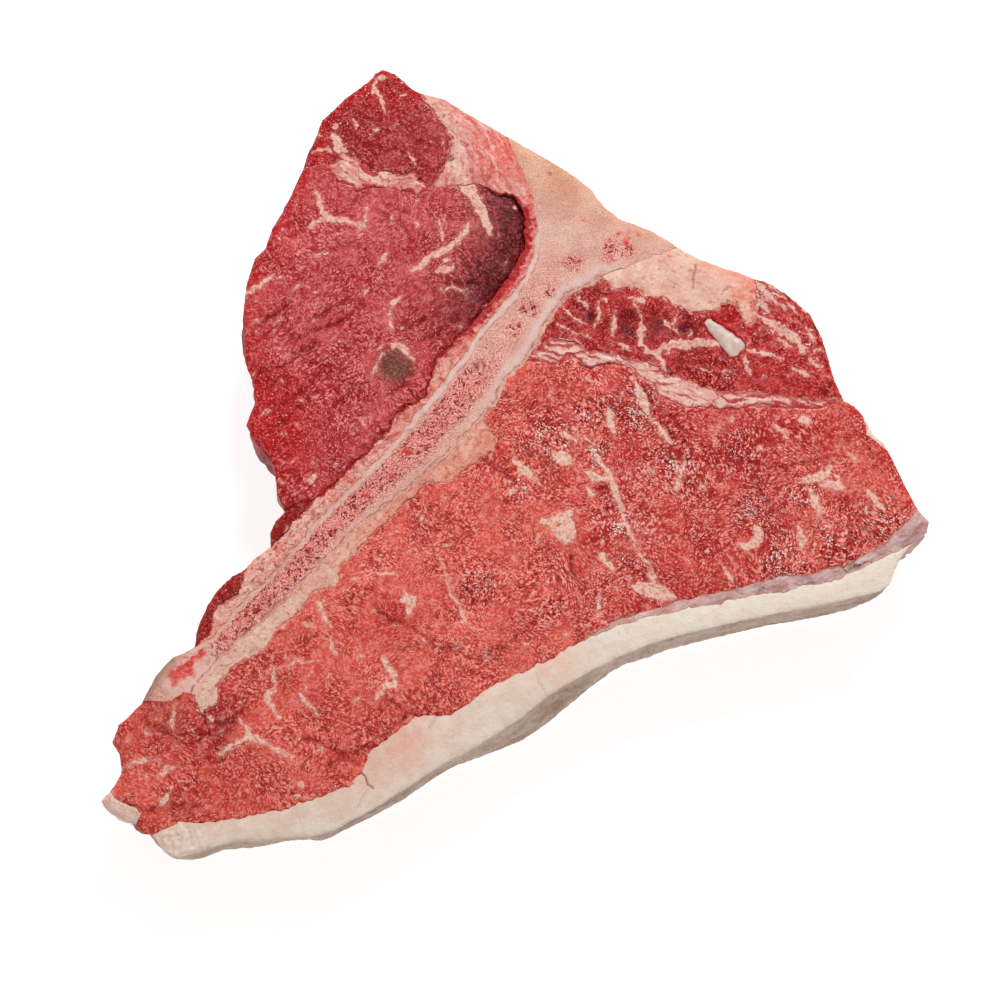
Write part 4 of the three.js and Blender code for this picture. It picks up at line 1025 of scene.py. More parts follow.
def loin_marks(places):
    """The marbling, the creases, the bright blood spot, the wet patches, and a blush along the rim."""
    flecks = scattered(501, 260, (-115, -112), (112, 25), 2.4, 1.0)
    marks = meat_marks(places, LOIN_STREAKS + flecks, LOIN_CREASES,
                       ["stem_fat_edge", "stem_meat", "seam_low", "skin_upper"], 511)
    dark = ripple(places, 3, 9, 52)
    outer = np.exp(-(np.minimum(rim_distance(places), 9) / 3.0) ** 1.5)
    spot = patch(places, (46, -1), 6.0, 0.8) * (dark > -0.3)
    under_seam = np.exp(-(distance_to(places, [(20, 20), (45, 8), (60, 5), (92, 4)]) / 10) ** 2)
    marks["crease_and_shade"] = 0.85 * marks["crease_and_shade"]
    marks["blush"] = np.clip(0.9 * spot + 0.4 * outer + 0.5 * under_seam * (0.6 + 0.5 * dark), 0, 0.85)
    lobes = np.max([patch(places, (-86, -78), 13), patch(places, (-72, -58), 9), patch(places, (-34, -48), 8)], axis=0)
    shaded = (0.55 * patch(places, (9, 13), 15) - 0.3 * patch(places, (-9, -33), 14)
              - 0.3 * patch(places, (98, -14), 18) + 0.45 * patch(places, (-82, -92), 28)
              + 0.35 * patch(places, (30, -7), 13) + 0.4 * patch(places, (58, 4), 15))
    marks["tone"] = np.clip(0.15 + 0.5 / (1 + np.exp(-(places[..., 0] - 22) / 9)) + 0.25 * dark
                            + 0.6 * lobes + shaded, 0, 1)
    purple = np.max([patch(places, (-99, -78), 13), patch(places, (-84, -81), 12), 0.7 * patch(places, (-92, -104), 7)],
                    axis=0)
    marks["bruise_and_shade"] = 0.45 * purple * np.clip(0.7 + 0.5 * dark, 0, 1)
    marks["wet"] = np.clip(0.03 + 0.15 * np.clip(places[..., 0] / 12, 0, 1) + 0.8 * np.max(
        [patch(places, centre, 1.5 * reach) for centre, reach in LOIN_WET], axis=0), 0, 1)
    return marks


def loin_relief(places, edge, shown):
    """Slow waves, a coarser surface where it is wet, and furrows at the creases."""
    return (0.32 * ripple(places, 12, 40, 51) + (0.04 + 0.1 * shown["wet"]) * ripple(places, 1.8, 5, 53)
            - 0.2 * shown["crease_and_shade"] + 0.05 * (shown["streak"] < 0))


strip_loin = cut_slice(
    "strip_loin_piece",
    ["-tail_side", "flank_rim", "tip_side", "-stem_fat_edge", "stem_meat", "seam_low", "shoulder_rim",
     "scrap_side", "strip_rim"],
    ["-lobe_rim", "cap_upper", "skin_upper"],
    [(0.22, 0.9), (0.47, 1.06), (1, 1.08), (2, 1.1), (3, 1.12), (3.09, 1.2), (3.32, 1.35), (3.59, 1.58),
     (4, 2.12), (5, 2.27), (6, 2.78), (7, 2.82), (8, 2.92)],
    0.82, loin_relief, loin_marks, -30, swell=0.35)
loin_meat = meat_material(
    "loin_meat", seen(233, 103, 89), seen(190, 50, 49), seen(250, 172, 158), seen(240, 200, 182), 0.8)
placed(strip_loin, "strip_loin", loin_meat)

# The ligament
# A tough white cord of tissue, cut slantwise, so it shows as a tapered bar with round ends. It runs
# through the chine muscle.
LIGAMENT_THIN_END = np.array([56.6, 37.3])
LIGAMENT_THIN_RADIUS = 1.5
LIGAMENT_THICK_END = np.array([63.6, 30.6])
LIGAMENT_THICK_RADIUS = 3.0
LIGAMENT_STEPS = 14
LIGAMENT_SQUARENESS = 0.5


def ligament_side(hand):
    """Half the outline: a squared quarter circle at the thin end, a straight run, and another quarter at
    the thick end. Squared means that sine and cosine are raised to a power below one."""
    axis = LIGAMENT_THICK_END - LIGAMENT_THIN_END
    axis = axis / np.hypot(*axis)
    across = hand * np.array([-axis[1], axis[0]])
    turn = np.linspace(0, np.pi / 2, LIGAMENT_STEPS)
    rising = np.sin(turn)[:, None] ** LIGAMENT_SQUARENESS
    falling = np.clip(np.cos(turn), 0, 1)[:, None] ** LIGAMENT_SQUARENESS
    return np.concatenate([
        LIGAMENT_THIN_END + LIGAMENT_THIN_RADIUS * (rising * across - falling * axis),
        LIGAMENT_THICK_END + LIGAMENT_THICK_RADIUS * (falling * across + rising * axis)])


def outside_ligament(places):
    """How far a place lies outside the bar, below zero inside it."""
    run = LIGAMENT_THICK_END - LIGAMENT_THIN_END
    part = np.clip(((places - LIGAMENT_THIN_END) @ run) / (run @ run), 0, 1)
    away = np.hypot(*np.moveaxis(places - LIGAMENT_THIN_END - part[..., None] * run, -1, 0))
    return away - LIGAMENT_THIN_RADIUS - part * (LIGAMENT_THICK_RADIUS - LIGAMENT_THIN_RADIUS)


def ligament_marks(places):
    """Painted shade close to the outline."""
    return {"rim_shade": np.exp(outside_ligament(places) / 0.35)}


def ligament_relief(places, edge, shown):
    """A low flat dome with a crisp edge."""
    return 0.14 * (1 - np.exp(-edge / 0.3)) + 0.06 * ripple(places, 1.5, 5, 64)


def ligament_material():
    """Off-white with faint lengthwise threads and painted shade along its edge, glossy."""
    material, tree, shader = new_material("ligament_white")
    place = object_place(tree)
    tone = ramp(tree, noise(tree, place, 2.0, 3.0), 0.35, 0.65)
    colour = blended(tree, tone, seen(214, 192, 178), seen(198, 170, 158))
    # Painted shade along the bar's edge, in a reddish brown.
    colour = blended(tree, maths(tree, "MULTIPLY", attribute(tree, "rim_shade"), 0.25), colour, seen(158, 84, 76))
    tree.links.new(colour, shader.inputs["Base Color"])
    shader.inputs["Roughness"].default_value = 0.45
    shader.inputs["Coat Weight"].default_value = 0.08
    shader.inputs["Coat Roughness"].default_value = 0.2
    bump = add_node(tree, "ShaderNodeBump", {
        "Strength": 0.3, "Distance": 0.0002, "Height": noise(tree, fibre_place(tree, 4.0), 0.6, 2.0)})
    tree.links.new(bump.outputs[0], shader.inputs["Normal"])
    return material


seam["ligament_left"] = [tuple(point) for point in ligament_side(1)]
seam["ligament_right"] = [tuple(point) for point in ligament_side(-1)]
ligament = cut_slice(
    "ligament_piece", ["ligament_left"], ["ligament_right"], [], 0.3, ligament_relief, ligament_marks, -44,
    swell=0.1, seam_drop=0.2, drift=0.25)
placed(ligament, "ligament", ligament_material())

# The small muscles
# The chain muscle above the fillet, the chine muscle under the bone's arm, and two scraps at the stem.
# They are darker than the large ones and were sliced with them.
seam["chain_bed"] = [(-61.8, 85.2), (-57, 86), (-52.5, 87), (-50.5, 90), (-46, 88), (-41.5, 83.7),
                     (-37, 84.6), (-33.5, 83), (-29.3, 84), (-24.5, 78.2)]
seam["chain_side"] = [(-27.5, 108.7), (-26, 105.3), (-21, 99.3), (-18.2, 94.3), (-19.5, 87.5), (-24.5, 78.2)]
seam["chine_top"] = [(25.8, 52), (28.5, 48), (33, 48.2), (36.2, 47.9), (38, 45.6), (43.3, 45.7), (46, 43.3),
                     (51, 41), (56.5, 41.3), (62.5, 43.7), (64.8, 42.3), (67, 36.8), (69.5, 38), (70.8, 40.2),
                     (69.7, 42.4), (71.6, 45), (70, 47), (71.2, 49.3), (70, 51.3)]
seam["seam_top"] = [(5.3, 29), (10, 32.8), (17.5, 32.5), (21, 29.3), (30, 27.6), (41.3, 24.8), (43.7, 21.3),
                    (47, 21.5), (53, 18.6), (60, 16.7), (75, 16.5), (84, 14.9), (95, 14.6)]
seam["upper_strip_side"] = [(-57.5, -16), (-63.5, -22.8), (-69.3, -29)]
seam["lower_strip_side"] = [(-76.8, -35.7), (-78.5, -42.5), (-84.5, -46.3), (-86.3, -54), (-90.8, -58.3)]

CHAIN_STREAKS = [
    (1.6, [(-40.5, 113.5), (-41.3, 110.5), (-40, 108), (-38.5, 105.5), (-38, 102)]), (2.2, [(-39, 113.5)]),
    (2.2, [(-52.5, 98)]), (3.2, [(-53, 95.5), (-50.8, 91), (-48.5, 86.5)]), (1.3, [(-31, 90), (-30, 88), (-28.5, 86)]),
    (1.4, [(-59, 90), (-56, 91), (-53, 90)]), (1.0, [(-48, 101), (-46, 98)]),
]
CHINE_STREAKS = [
    (1.4, [(29, 41), (28.5, 36), (29, 33)]), (1.0, [(24, 44), (25, 40), (23, 36)]),
    (1.4, [(34.5, 44), (36.5, 40), (37, 36), (36, 32), (38, 29.5), (41, 28), (43, 25), (44, 22)]),
    (2.6, [(43.5, 38), (44.5, 36)]), (2.9, [(41, 28.5), (46, 31.5), (50, 31), (55, 32), (59, 31)]),
    (1.4, [(33, 45.5), (37.5, 44.5)]), (1.4, [(67, 29.5), (72, 28.5), (78, 26.5)]), (1.4, [(66, 27), (67, 25), (68, 22)]),
    (3.0, [(71, 40), (75, 37), (79, 34.5), (82, 32), (83.5, 28.5)]), (2.4, [(70, 50), (73.5, 46.5)]),
    (2.2, [(69.8, 44.5), (74, 41)]), (1.4, [(71, 48), (75, 44.5), (79, 42)]), (1.0, [(73, 50), (77, 47)]),
    (1.0, [(79, 44), (82, 40)]), (1.1, [(84, 37), (87, 31)]), (1.2, [(80, 24), (86, 21)]),
    (1.2, [(76, 33), (80, 30)]), (1.1, [(85, 27), (88, 24)]), (1.0, [(82, 44), (85, 41)]), (0.9, [(74, 47), (79, 45)]),
    (1.1, [(14, 43), (17, 39), (21, 37)]), (0.9, [(12, 37), (16, 35.5), (22, 33)]), (0.9, [(18, 46), (21, 42)]),
    (1.1, [(47, 41), (46, 36), (48, 34)]), (0.9, [(52, 24), (58, 23)]), (1.0, [(30, 31), (34, 29.5)]),
]
CHINE_CREASES = [
    (0.6, [(31, 44), (33, 38), (32, 31)]), (0.6, [(40, 42), (41, 35), (39, 31)]), (0.7, [(50, 38), (52, 34)]),
    (0.6, [(25, 36), (26, 31)]), (0.5, [(47, 26), (58, 25), (70, 22), (84, 20)]), (0.5, [(70, 34), (78, 31)]),
]


def chain_marks(places):
    """The curl of fat, and a bright red rim."""
    flecks = scattered(601, 26, (-62, 78), (-18, 116), 1.8, 0.9)
    marks = meat_marks(places, CHAIN_STREAKS + flecks, [(0.6, [(-46, 94), (-40, 92)])],
                       ["chain_bed", "chain_side"], 611)
    marks["blush"] = np.clip(1.1 * np.exp(-distance_to(places, seam["chain_rim"]) / 4.0)
                             + 0.6 * patch(places, (-57, 88), 7) + 0.6 * patch(places, (-37, 106), 9), 0, 0.92)
    marks["tone"] = marks["tone"] + 0.2 * ripple(places, 3, 9, 602)
    marks["wet"] = 0.15 + 0.4 * np.exp(-distance_to(places, seam["chain_rim"]) / 5.0)
    return marks


def chine_marks(places):
    """The pale curves, wine dark hollows in the middle, and the deep red corner at the right."""
    flecks = scattered(621, 44, (6, 16), (92, 52), 2.6, 1.0) + scattered(627, 34, (70, 19), (93, 49), 2.4, 0.9)
    marks = meat_marks(places, CHINE_STREAKS + flecks, CHINE_CREASES, ["chine_side", "chine_top", "seam_top"], 631)
    hollows = np.max([patch(places, centre, reach) for centre, reach in (
        ((33, 38), 7), ((41, 38), 6), ((50, 36), 5), ((22, 40), 4))], axis=0)
    marks["hollow"] = hollows
    marks["bruise_and_shade"] = np.clip(1.0 * hollows * (0.8 + 0.5 * ripple(places, 3, 8, 622)), 0, 0.85)
    dried = np.exp(-(distance_to(places, seam["chine_rim"]) / 1.5) ** 2) * np.clip((places[..., 1] - 24) / 10, 0, 1)
    marks["bruise_and_shade"] = np.maximum(marks["bruise_and_shade"], 0.75 * dried * np.clip(0.6 + ripple(places, 2, 7, 624), 0, 1))
    marks["blush"] = np.clip(0.35 * patch(places, (84, 39), 13) + 0.8 * patch(places, (62, 38), 10)
                             + 0.6 * patch(places, (56, 24), 8) + 0.4 * patch(places, (30, 40), 8)
                             + 0.25 * np.exp(-rim_distance(places) / 4), 0, 0.92)
    marks["tone"] = marks["tone"] + 0.35 * ripple(places, 3, 9, 623) - 0.7 * patch(places, (86, 32), 24)
    marks["wet"] = np.clip(0.14 + 0.55 * np.max([patch(places, centre, reach) for centre, reach in (
        ((72, 44), 10), ((60, 22), 11), ((84, 33), 11))], axis=0), 0, 1)
    ragged = np.clip(0.3 + ripple(places, 1.5, 4, 625), 0, 1.2)
    marks["fringe"] = marks["fringe"] - 3.0 * patch(places, (72, 46), 6.5) * ragged
    outside = outside_ligament(places)
    below = 1 / (1 + np.exp((places[..., 0] + places[..., 1] - 94) / 1.2))
    marks["pit"] = 1 / (1 + np.exp(np.clip((outside + 0.35) / 0.1, -40, 40)))
    # A dark line round the ligament, strongest along its lower side: painted shade at the edge of its pit.
    marks["crease_and_shade"] = np.clip(0.8 * marks["crease_and_shade"] + (0.25 + 0.7 * below) * np.exp(-(outside / 0.45) ** 2), 0, 1)
    return marks


def scrap_marks(places):
    """Dark meat, a little more red at the rim."""
    marks = meat_marks(places, [(1.0, [(-65, -24)]), (0.9, [(-86, -47)])], [(0.5, [(-62, -18), (-68, -26)])], [], 641)
    marks["blush"] = 0.4 * np.exp(-rim_distance(places) / 2.0)
    marks["tone"] = marks["tone"] + 0.3
    return marks


def small_meat_relief(places, edge, shown):
    """Waves of two sizes, furrows at the creases, and streaks that stand a little proud."""
    return (0.28 * ripple(places, 6, 20, 61) + 0.08 * ripple(places, 1.8, 5, 63)
            - 0.2 * shown["crease_and_shade"] + 0.08 * (shown["streak"] < 0))


def chine_relief(places, edge, shown):
    """The same, with wine dark hollows and a pit for the ligament."""
    return small_meat_relief(places, edge, shown) - 0.6 * shown["hollow"] - 1.5 * shown["pit"]


chain_meat = meat_material(
    "chain_meat", seen(180, 62, 66), seen(142, 30, 38), seen(212, 112, 110), seen(236, 196, 178), 0.6)
side_meat = meat_material(
    "side_meat", seen(176, 58, 54), seen(130, 26, 32), seen(206, 110, 100), seen(222, 160, 142), 0.5)
chine_meat = meat_material(
    "chine_meat", seen(200, 58, 58), seen(136, 14, 24), seen(228, 118, 110), seen(232, 192, 178), 1.0)
chain_muscle = cut_slice(
    "chain_muscle_piece", ["chain_rim"], ["chain_bed", "-chain_side"], [(0.62, 1)], 0.5,
    small_meat_relief, chain_marks, 20, swell=0.4)
placed(chain_muscle, "chain_muscle", chain_meat)
chine_muscle = cut_slice(
    "chine_muscle_piece", ["chine_side", "chine_top", "chine_rim"], ["seam_top"], [(1, 0.28), (2, 0.75)], 0.45,
    chine_relief, chine_marks, -15, swell=0.3)
placed(chine_muscle, "chine_muscle", chine_meat)
upper_scrap = cut_slice(
    "upper_side_meat_piece", ["upper_strip_rim", "-fillet_foot"], ["-upper_strip_side"], [], 0.5,
    small_meat_relief, scrap_marks, 45, swell=0.4)
placed(upper_scrap, "upper_side_meat", side_meat)
lower_scrap = cut_slice(
    "lower_side_meat_piece", ["lower_strip_rim"], ["-lower_strip_side"], [], 0.5,
    small_meat_relief, scrap_marks, 45, swell=0.4)
placed(lower_scrap, "lower_side_meat", side_meat)

# The inner fats
# Suet between the chain muscle and the bone, crumbly pink bands along the bone and under the chain
# muscle, and cream fat at the stem, the chine and the seam. They grew between the muscles.
seam["neck"] = [(0.8, 76.5), (5.2, 77)]


def fat_group():
    """Fat: two close tones in slow patches, a fine crumb, blood between the larger crumbs, small red
    specks, and blood seeped in from the meat beside it."""
    group, given, result = new_group(
        "cut_fat", [("Light", (0.8, 0.6, 0.5, 1.0)), ("Dark", (0.7, 0.5, 0.4, 1.0)), ("Red", (0.5, 0.1, 0.1, 1.0)),
                    ("Stain", (0.3, 0.1, 0.1, 1.0)), ("Crumb", 0.0), ("Blood", 0.5), ("Strands", 0.2)],
        [("Color", "NodeSocketColor"), ("Height", "NodeSocketFloat")])
    place = object_place(group)
    tone = ramp(group, noise(group, place, 5.0, 3.0, 0.6), 0.36, 0.64)
    colour = blended(group, tone, given["Light"], given["Dark"])
    colour = blended(group, attribute(group, "stain"), colour, given["Stain"])
    colour = blended(group, attribute(group, "bleach"), colour, seen(252, 232, 214))
    fine = noise(group, place, 0.6, 2.0, 0.65)
    pale = blended(group, 0.5, given["Light"], (1.0, 1.0, 1.0, 1.0))
    colour = blended(group, ramp(group, fine, 0.54, 0.7, 0.0, 0.35), colour, pale)
    low = maths(group, "MULTIPLY", ramp(group, fine, 0.46, 0.32, 0.0, 0.45), given["Blood"])
    colour = blended(group, low, colour, given["Red"])
    bent = add_node(group, "ShaderNodeTexNoise", {"Vector": place, "Scale": 500.0, "Detail": 1.0}).outputs["Color"]
    sway = add_node(group, "ShaderNodeVectorMath", {0: bent, "Scale": 0.0024}, operation="SCALE").outputs[0]
    moved = add_node(group, "ShaderNodeVectorMath", {0: place, 1: sway}, operation="ADD").outputs[0]
    cells = add_node(group, "ShaderNodeTexVoronoi", {"Vector": moved, "Scale": 380.0},
                     feature="DISTANCE_TO_EDGE").outputs["Distance"]
    between = maths(group, "MULTIPLY", ramp(group, cells, 0.1, 0.02), given["Crumb"])
    opened = ramp(group, noise(group, place, 3.0, 3.0), 0.44, 0.6, 0.06, 0.9)
    colour = blended(group, maths(group, "MULTIPLY", between, opened), colour, given["Red"])
    specks = maths(group, "MULTIPLY", ramp(group, noise(group, place, 1.5, 2.0), 0.61, 0.68), given["Blood"])
    colour = blended(group, maths(group, "MULTIPLY", specks, 0.7), colour, given["Red"])
    run = noise(group, fibre_place(group, 5.0), 1.3, 3.0, 0.6)
    strands = maths(group, "MULTIPLY", ramp(group, run, 0.55, 0.66), given["Strands"])
    colour = blended(group, strands, colour, given["Red"])
    light_strands = maths(group, "MULTIPLY", ramp(group, run, 0.46, 0.36), given["Strands"])
    colour = blended(group, light_strands, colour, pale)
    reach = maths(group, "MULTIPLY", given["Blood"], 0.45)
    seeped = torn(group, maths(group, "SUBTRACT", attribute(group, "seep"), reach), 0.8, 0.3)
    colour = blended(group, maths(group, "MULTIPLY", seeped, given["Blood"]), colour, given["Red"])
    colour = blended(group, attribute(group, "slit"), colour, seen(128, 60, 42))
    group.links.new(colour, result["Color"])
    crumbs = maths(group, "MULTIPLY", ramp(group, cells, 0.0, 0.3), given["Crumb"])
    rough = maths(group, "ADD", maths(group, "MULTIPLY", fine, 0.8), maths(group, "MULTIPLY", crumbs, 1.5))
    group.links.new(maths(group, "SUBTRACT", rough, maths(group, "MULTIPLY", strands, 0.8)), result["Height"])
    return group


CUT_FAT = fat_group()


def fat_material(name, light, dark, red, stain, crumb=0.0, blood=0.5, strands=0.2, side=None):
    """The fat's look in one place's own colours. Where side colours are given, the skin on the outer wall
    has those, behind a thin tan line at the rim. Elsewhere the wall is the fat itself, duller."""
    material, tree, shader = new_material(name)
    look = add_node(tree, "ShaderNodeGroup", node_tree=CUT_FAT)
    for socket, value in (("Light", light), ("Dark", dark), ("Red", red), ("Stain", stain),
                          ("Crumb", crumb), ("Blood", blood), ("Strands", strands)):
        look.inputs[socket].default_value = value
    colour = look.outputs["Color"]
    if side:
        skin, skin_height, lower = outer_side(tree, *side, 0.34)
        on_side = attribute(tree, "side")
        colour = blended(tree, ramp(tree, on_side, 0.05, 0.4), colour, seen(196, 156, 130))
        on_skin = ramp(tree, on_side, 0.6, 0.98)
    else:
        duller = blended(tree, 0.4, light, seen(190, 142, 120))
        skin, skin_height, on_skin = outer_side(
            tree, duller, blended(tree, 0.6, dark, seen(150, 92, 78)), duller, red, 0.6)
    colour = blended(tree, on_skin, colour, skin)
    tree.links.new(colour, shader.inputs["Base Color"])
    rough = ramp(tree, noise(tree, object_place(tree), 3.0), 0.3, 0.7, 0.4, 0.56)
    tree.links.new(rough, shader.inputs["Roughness"])
    shader.inputs["Specular IOR Level"].default_value = 0.2
    shader.inputs["Coat Weight"].default_value = 0.05
    shader.inputs["Coat Roughness"].default_value = 0.25
    height = maths(tree, "ADD", look.outputs["Height"], maths(tree, "MULTIPLY", skin_height, on_skin))
    bump = add_node(tree, "ShaderNodeBump", {"Strength": 0.5, "Distance": 0.0004, "Height": height})
    tree.links.new(bump.outputs[0], shader.inputs["Normal"])
    return material


def seeping(meat_seams, places, stain):
    """How far a place lies from the meat beside the fat, and how stained it is."""
    return {"seep": np.min([distance_to(places, seam[name]) for name in meat_seams], axis=0),
            "stain": np.clip(stain, 0, 1) + np.zeros(places.shape[:-1])}


def suet_marks(places):
    """Coral in its middle and along the bone, cream towards the chain muscle."""
    coral = 0.7 * patch(places, (-5, 90), 10, 0.8) + 0.35 * patch(places, (-14, 99), 9) + 0.5 * np.exp(-distance_to(places, seam["head_side"]) / 1.6)
    strands = 0.5 * np.clip(ripple(places @ np.array([[0.9, 0.3], [-0.4, 0.35]]), 1.5, 5, 701), 0, 1)
    marks = seeping(["chain_side", "fillet_crown"], places, coral + 0.5 * strands)
    marks["bleach"] = 0.35 * np.exp(-(distance_to(places, [(-27, 106), (-17.5, 97), (-17.5, 88), (-16, 81)]) / 3.2) ** 2)
    return marks


def chain_fat_marks(places):
    """Red meat shows in gaps between its strands, most at its two ends."""
    run = fibre_run(places, -14)
    strands = ripple(np.stack([run["along"] / 3.5, run["across"]], axis=-1), 1.3, 3.5, 706)
    ends = np.clip((np.abs(places[..., 0] + 43) - 9) / 9, 0, 1)
    marks = seeping(["chain_bed", "fillet_top"], places, 0.25 * np.clip(strands, 0, 1))
    marks["seep"] = marks["seep"] - 1.5 * np.clip(strands - 0.25 + 0.35 * ends, 0, 1)
    return marks


def band_marks(places):
    """Redder above the middle of the stem, where the band is a thin strip of membrane. Below it, thin
    cracks part lumps a few millimetres wide."""
    upper = np.clip((places[..., 1] - 24) / 18, 0, 1)
    from_bone = distance_to(places, seam["stem_left"])
    from_neck = np.clip(distance_to(places, seam["neck"]) / 5, 0, 1)
    red = upper * from_neck * (1 - np.exp(-(from_bone / (1.7 + 0.6 * ripple(places, 2, 7, 79))) ** 2))
    marks = seeping(["fillet_side", "upper_strip_side", "lower_strip_side"], places,
                    0.8 * red + 0.3 * upper + 0.25 * np.clip((places[..., 1] + 22) / 20, 0, 1)
                    + 0.25 * np.clip(ripple(places, 2, 6, 76), 0, 1))
    marks["seep"] = marks["seep"] - 1.5 * upper * from_neck * (0.8 + 0.6 * ripple(places, 1.5, 5, 78))
    marks["slit"] = 0.4 * (1 - upper) * np.exp(-(ripple(places, 5, 11, 77) / 0.06) ** 2)
    return marks


def stem_fat_marks(places):
    """A little blood in places, and paler towards the tip."""
    marks = seeping(["stem_fat_edge"], places, 0.2 * np.clip(ripple(places, 4, 12, 702) - 0.4, 0, 1))
    marks["bleach"] = 0.35 * np.clip((-20 - places[..., 1]) / 30, 0, 1)
    return marks


def chine_fat_marks(places):
    """Orange pink along the outer rim and at the right, with three small dark slits."""
    slits = np.min([distance_to(places, line) for line in (
        [(52.5, 55), (52.3, 51), (51.5, 48)], [(62.5, 49), (60.5, 46.8)], [(62.3, 44.7), (61, 42.7)])], axis=0)
    rim = np.exp(-distance_to(places, seam["chine_fat_rim"]) / 3.2) * np.clip((places[..., 0] - 50) / 12, 0, 1)
    corner = patch(places, (68, 46), 9) * np.clip(0.5 + ripple(places, 2, 6, 703), 0, 1)
    marks = seeping(["chine_top"], places, 0.7 * rim + 0.8 * corner)
    torn_off = np.clip(0.5 + ripple(places, 1.5, 5, 705), 0, 1.4)
    marks["seep"] = marks["seep"] - 3.2 * patch(places, (71, 44), 8) * torn_off
    marks["slit"] = 0.8 * np.exp(-(slits / 0.22) ** 2)
    return marks


def seam_fat_marks(places):
    """Red meat shows in long gaps between its strands, most at its two thin ends."""
    thin = np.clip((26 - places[..., 0]) / 18, 0, 1) + np.clip((places[..., 0] - 54) / 20, 0, 1)
    run = fibre_run(places, -22)
    strands = ripple(np.stack([run["along"] / 4.5, run["across"]], axis=-1), 1.3, 3.5, 704)
    gaps = np.clip((strands - 0.48 + 0.75 * thin) / 0.3, 0, 1)
    marks = seeping(["seam_top", "seam_low"], places, 0.92 * gaps)
    marks["seep"] = marks["seep"] - 0.1 - 0.6 * thin
    return marks


def crumbly_relief(places, edge, shown):
    """Crumbs one to three millimetres wide."""
    return 0.08 * ripple(places, 1.4, 3.5, 72) + 0.16 * ripple(places, 5, 14, 73)


def lumpy_relief(places, edge, shown):
    """Lumps three to six millimetres wide, parted by the cracks."""
    return 0.05 * ripple(places, 1.2, 3.0, 72) + 0.13 * ripple(places, 3.5, 9, 73) - 0.4 * shown["slit"]


def smooth_relief(places, edge, shown):
    """Low waves."""
    return 0.12 * ripple(places, 6, 18, 74) + 0.05 * ripple(places, 1.4, 3.5, 75)


def slit_relief(places, edge, shown):
    """Low waves, cut by the slits."""
    return smooth_relief(places, edge, shown) - 0.3 * shown["slit"]


suet_fat = fat_material(
    "suet_fat", seen(229, 160, 145), seen(214, 126, 114), seen(184, 52, 52), seen(232, 106, 92), 0.35, 0.85, 0.5)
salmon_fat = fat_material(
    "salmon_fat", seen(252, 190, 170), seen(242, 152, 134), seen(168, 34, 38), seen(214, 82, 76), 0.6, 0.9, 0.35)
seam_pink = fat_material(
    "chain_seam_fat", seen(232, 178, 160), seen(212, 136, 122), seen(186, 52, 52), seen(214, 116, 104), 0.3, 0.95, 0.65)
cream_fat = fat_material(
    "cream_fat", seen(232, 172, 146), seen(218, 138, 114), seen(186, 60, 54), seen(230, 112, 90), 0.25, 0.75, 0.3)
arm_fat = fat_material(
    "arm_fat", seen(234, 192, 172), seen(226, 170, 150), seen(196, 80, 66), seen(236, 126, 100), 0.0, 0.6, 0.12)
strand_fat = fat_material(
    "strand_fat", seen(240, 198, 184), seen(230, 168, 154), seen(180, 40, 42), seen(174, 34, 38), 0.15, 0.75, 0.35)
suet = cut_slice(
    "suet_piece", ["suet_rim", "head_side"], ["chain_side", "fillet_crown", "neck"], [(1, 1.3)], 0.45,
    crumbly_relief, suet_marks, -60, swell=0.3)
placed(suet, "suet", suet_fat)
chain_fat = cut_slice(
    "fillet_seam_fat_piece", ["chain_bed"], ["fillet_top"], [], 0.45, smooth_relief, chain_fat_marks, -10,
    swell=0.3)
placed(chain_fat, "fillet_seam_fat", seam_pink)
bone_band = cut_slice(
    "bone_band_fat_piece", ["-lower_strip_side", "band_rim", "-upper_strip_side", "-fillet_side", "neck"],
    ["-stem_left"], [(1, 0.16), (2, 0.21), (3, 0.31)], 0.45, lumpy_relief, band_marks, 45, swell=0.3)
placed(bone_band, "bone_band_fat", salmon_fat)
stem_fat = cut_slice(
    "stem_fat_piece", ["-stem_right"], ["-stem_fat_edge"], [(0.03, 0.09), (0.06, 0.125), (0.12, 0.19)], 0.45,
    smooth_relief, stem_fat_marks, 45, swell=0.2)
placed(stem_fat, "stem_fat", cream_fat)
chine_fat = cut_slice(
    "chine_fat_piece", ["arm_under", "chine_fat_rim"], ["chine_top"],
    [(1, 0.45), (1.35, 0.63), (1.6, 0.67), (1.88, 0.8)], 0.4, slit_relief, chine_fat_marks, -5, swell=0.3)
placed(chine_fat, "chine_fat", arm_fat)
seam_fat = cut_slice(
    "seam_fat_piece", ["seam_root", "seam_top"], ["seam_low"], [], 0.45, smooth_relief, seam_fat_marks, -10,
    swell=0.2)
placed(seam_fat, "seam_fat", strand_fat)

# The outer fats
# The ivory fat cap with its side painted a shaded grey-tan, the grey membrane between it and the loin,
# and two scraps of cream fat at the tail and at the right rim. They were trimmed to an even thickness.
seam["skin_lower"] = [(18, -57), (32, -51.2), (50, -47.2), (70, -43.2), (90, -39.5), (104, -33), (113, -28.3)]
CAP_CRACKS = [[(-42.6, -94.6), (-41.6, -95.6), (-41, -97.2), (-39.6, -98.8)], [(6, -66), (7, -68.5), (9, -72)],
              [(-41, -99), (-43, -102), (-44, -104)], [(-21, -76.5), (-22.5, -79), (-24, -82)]]


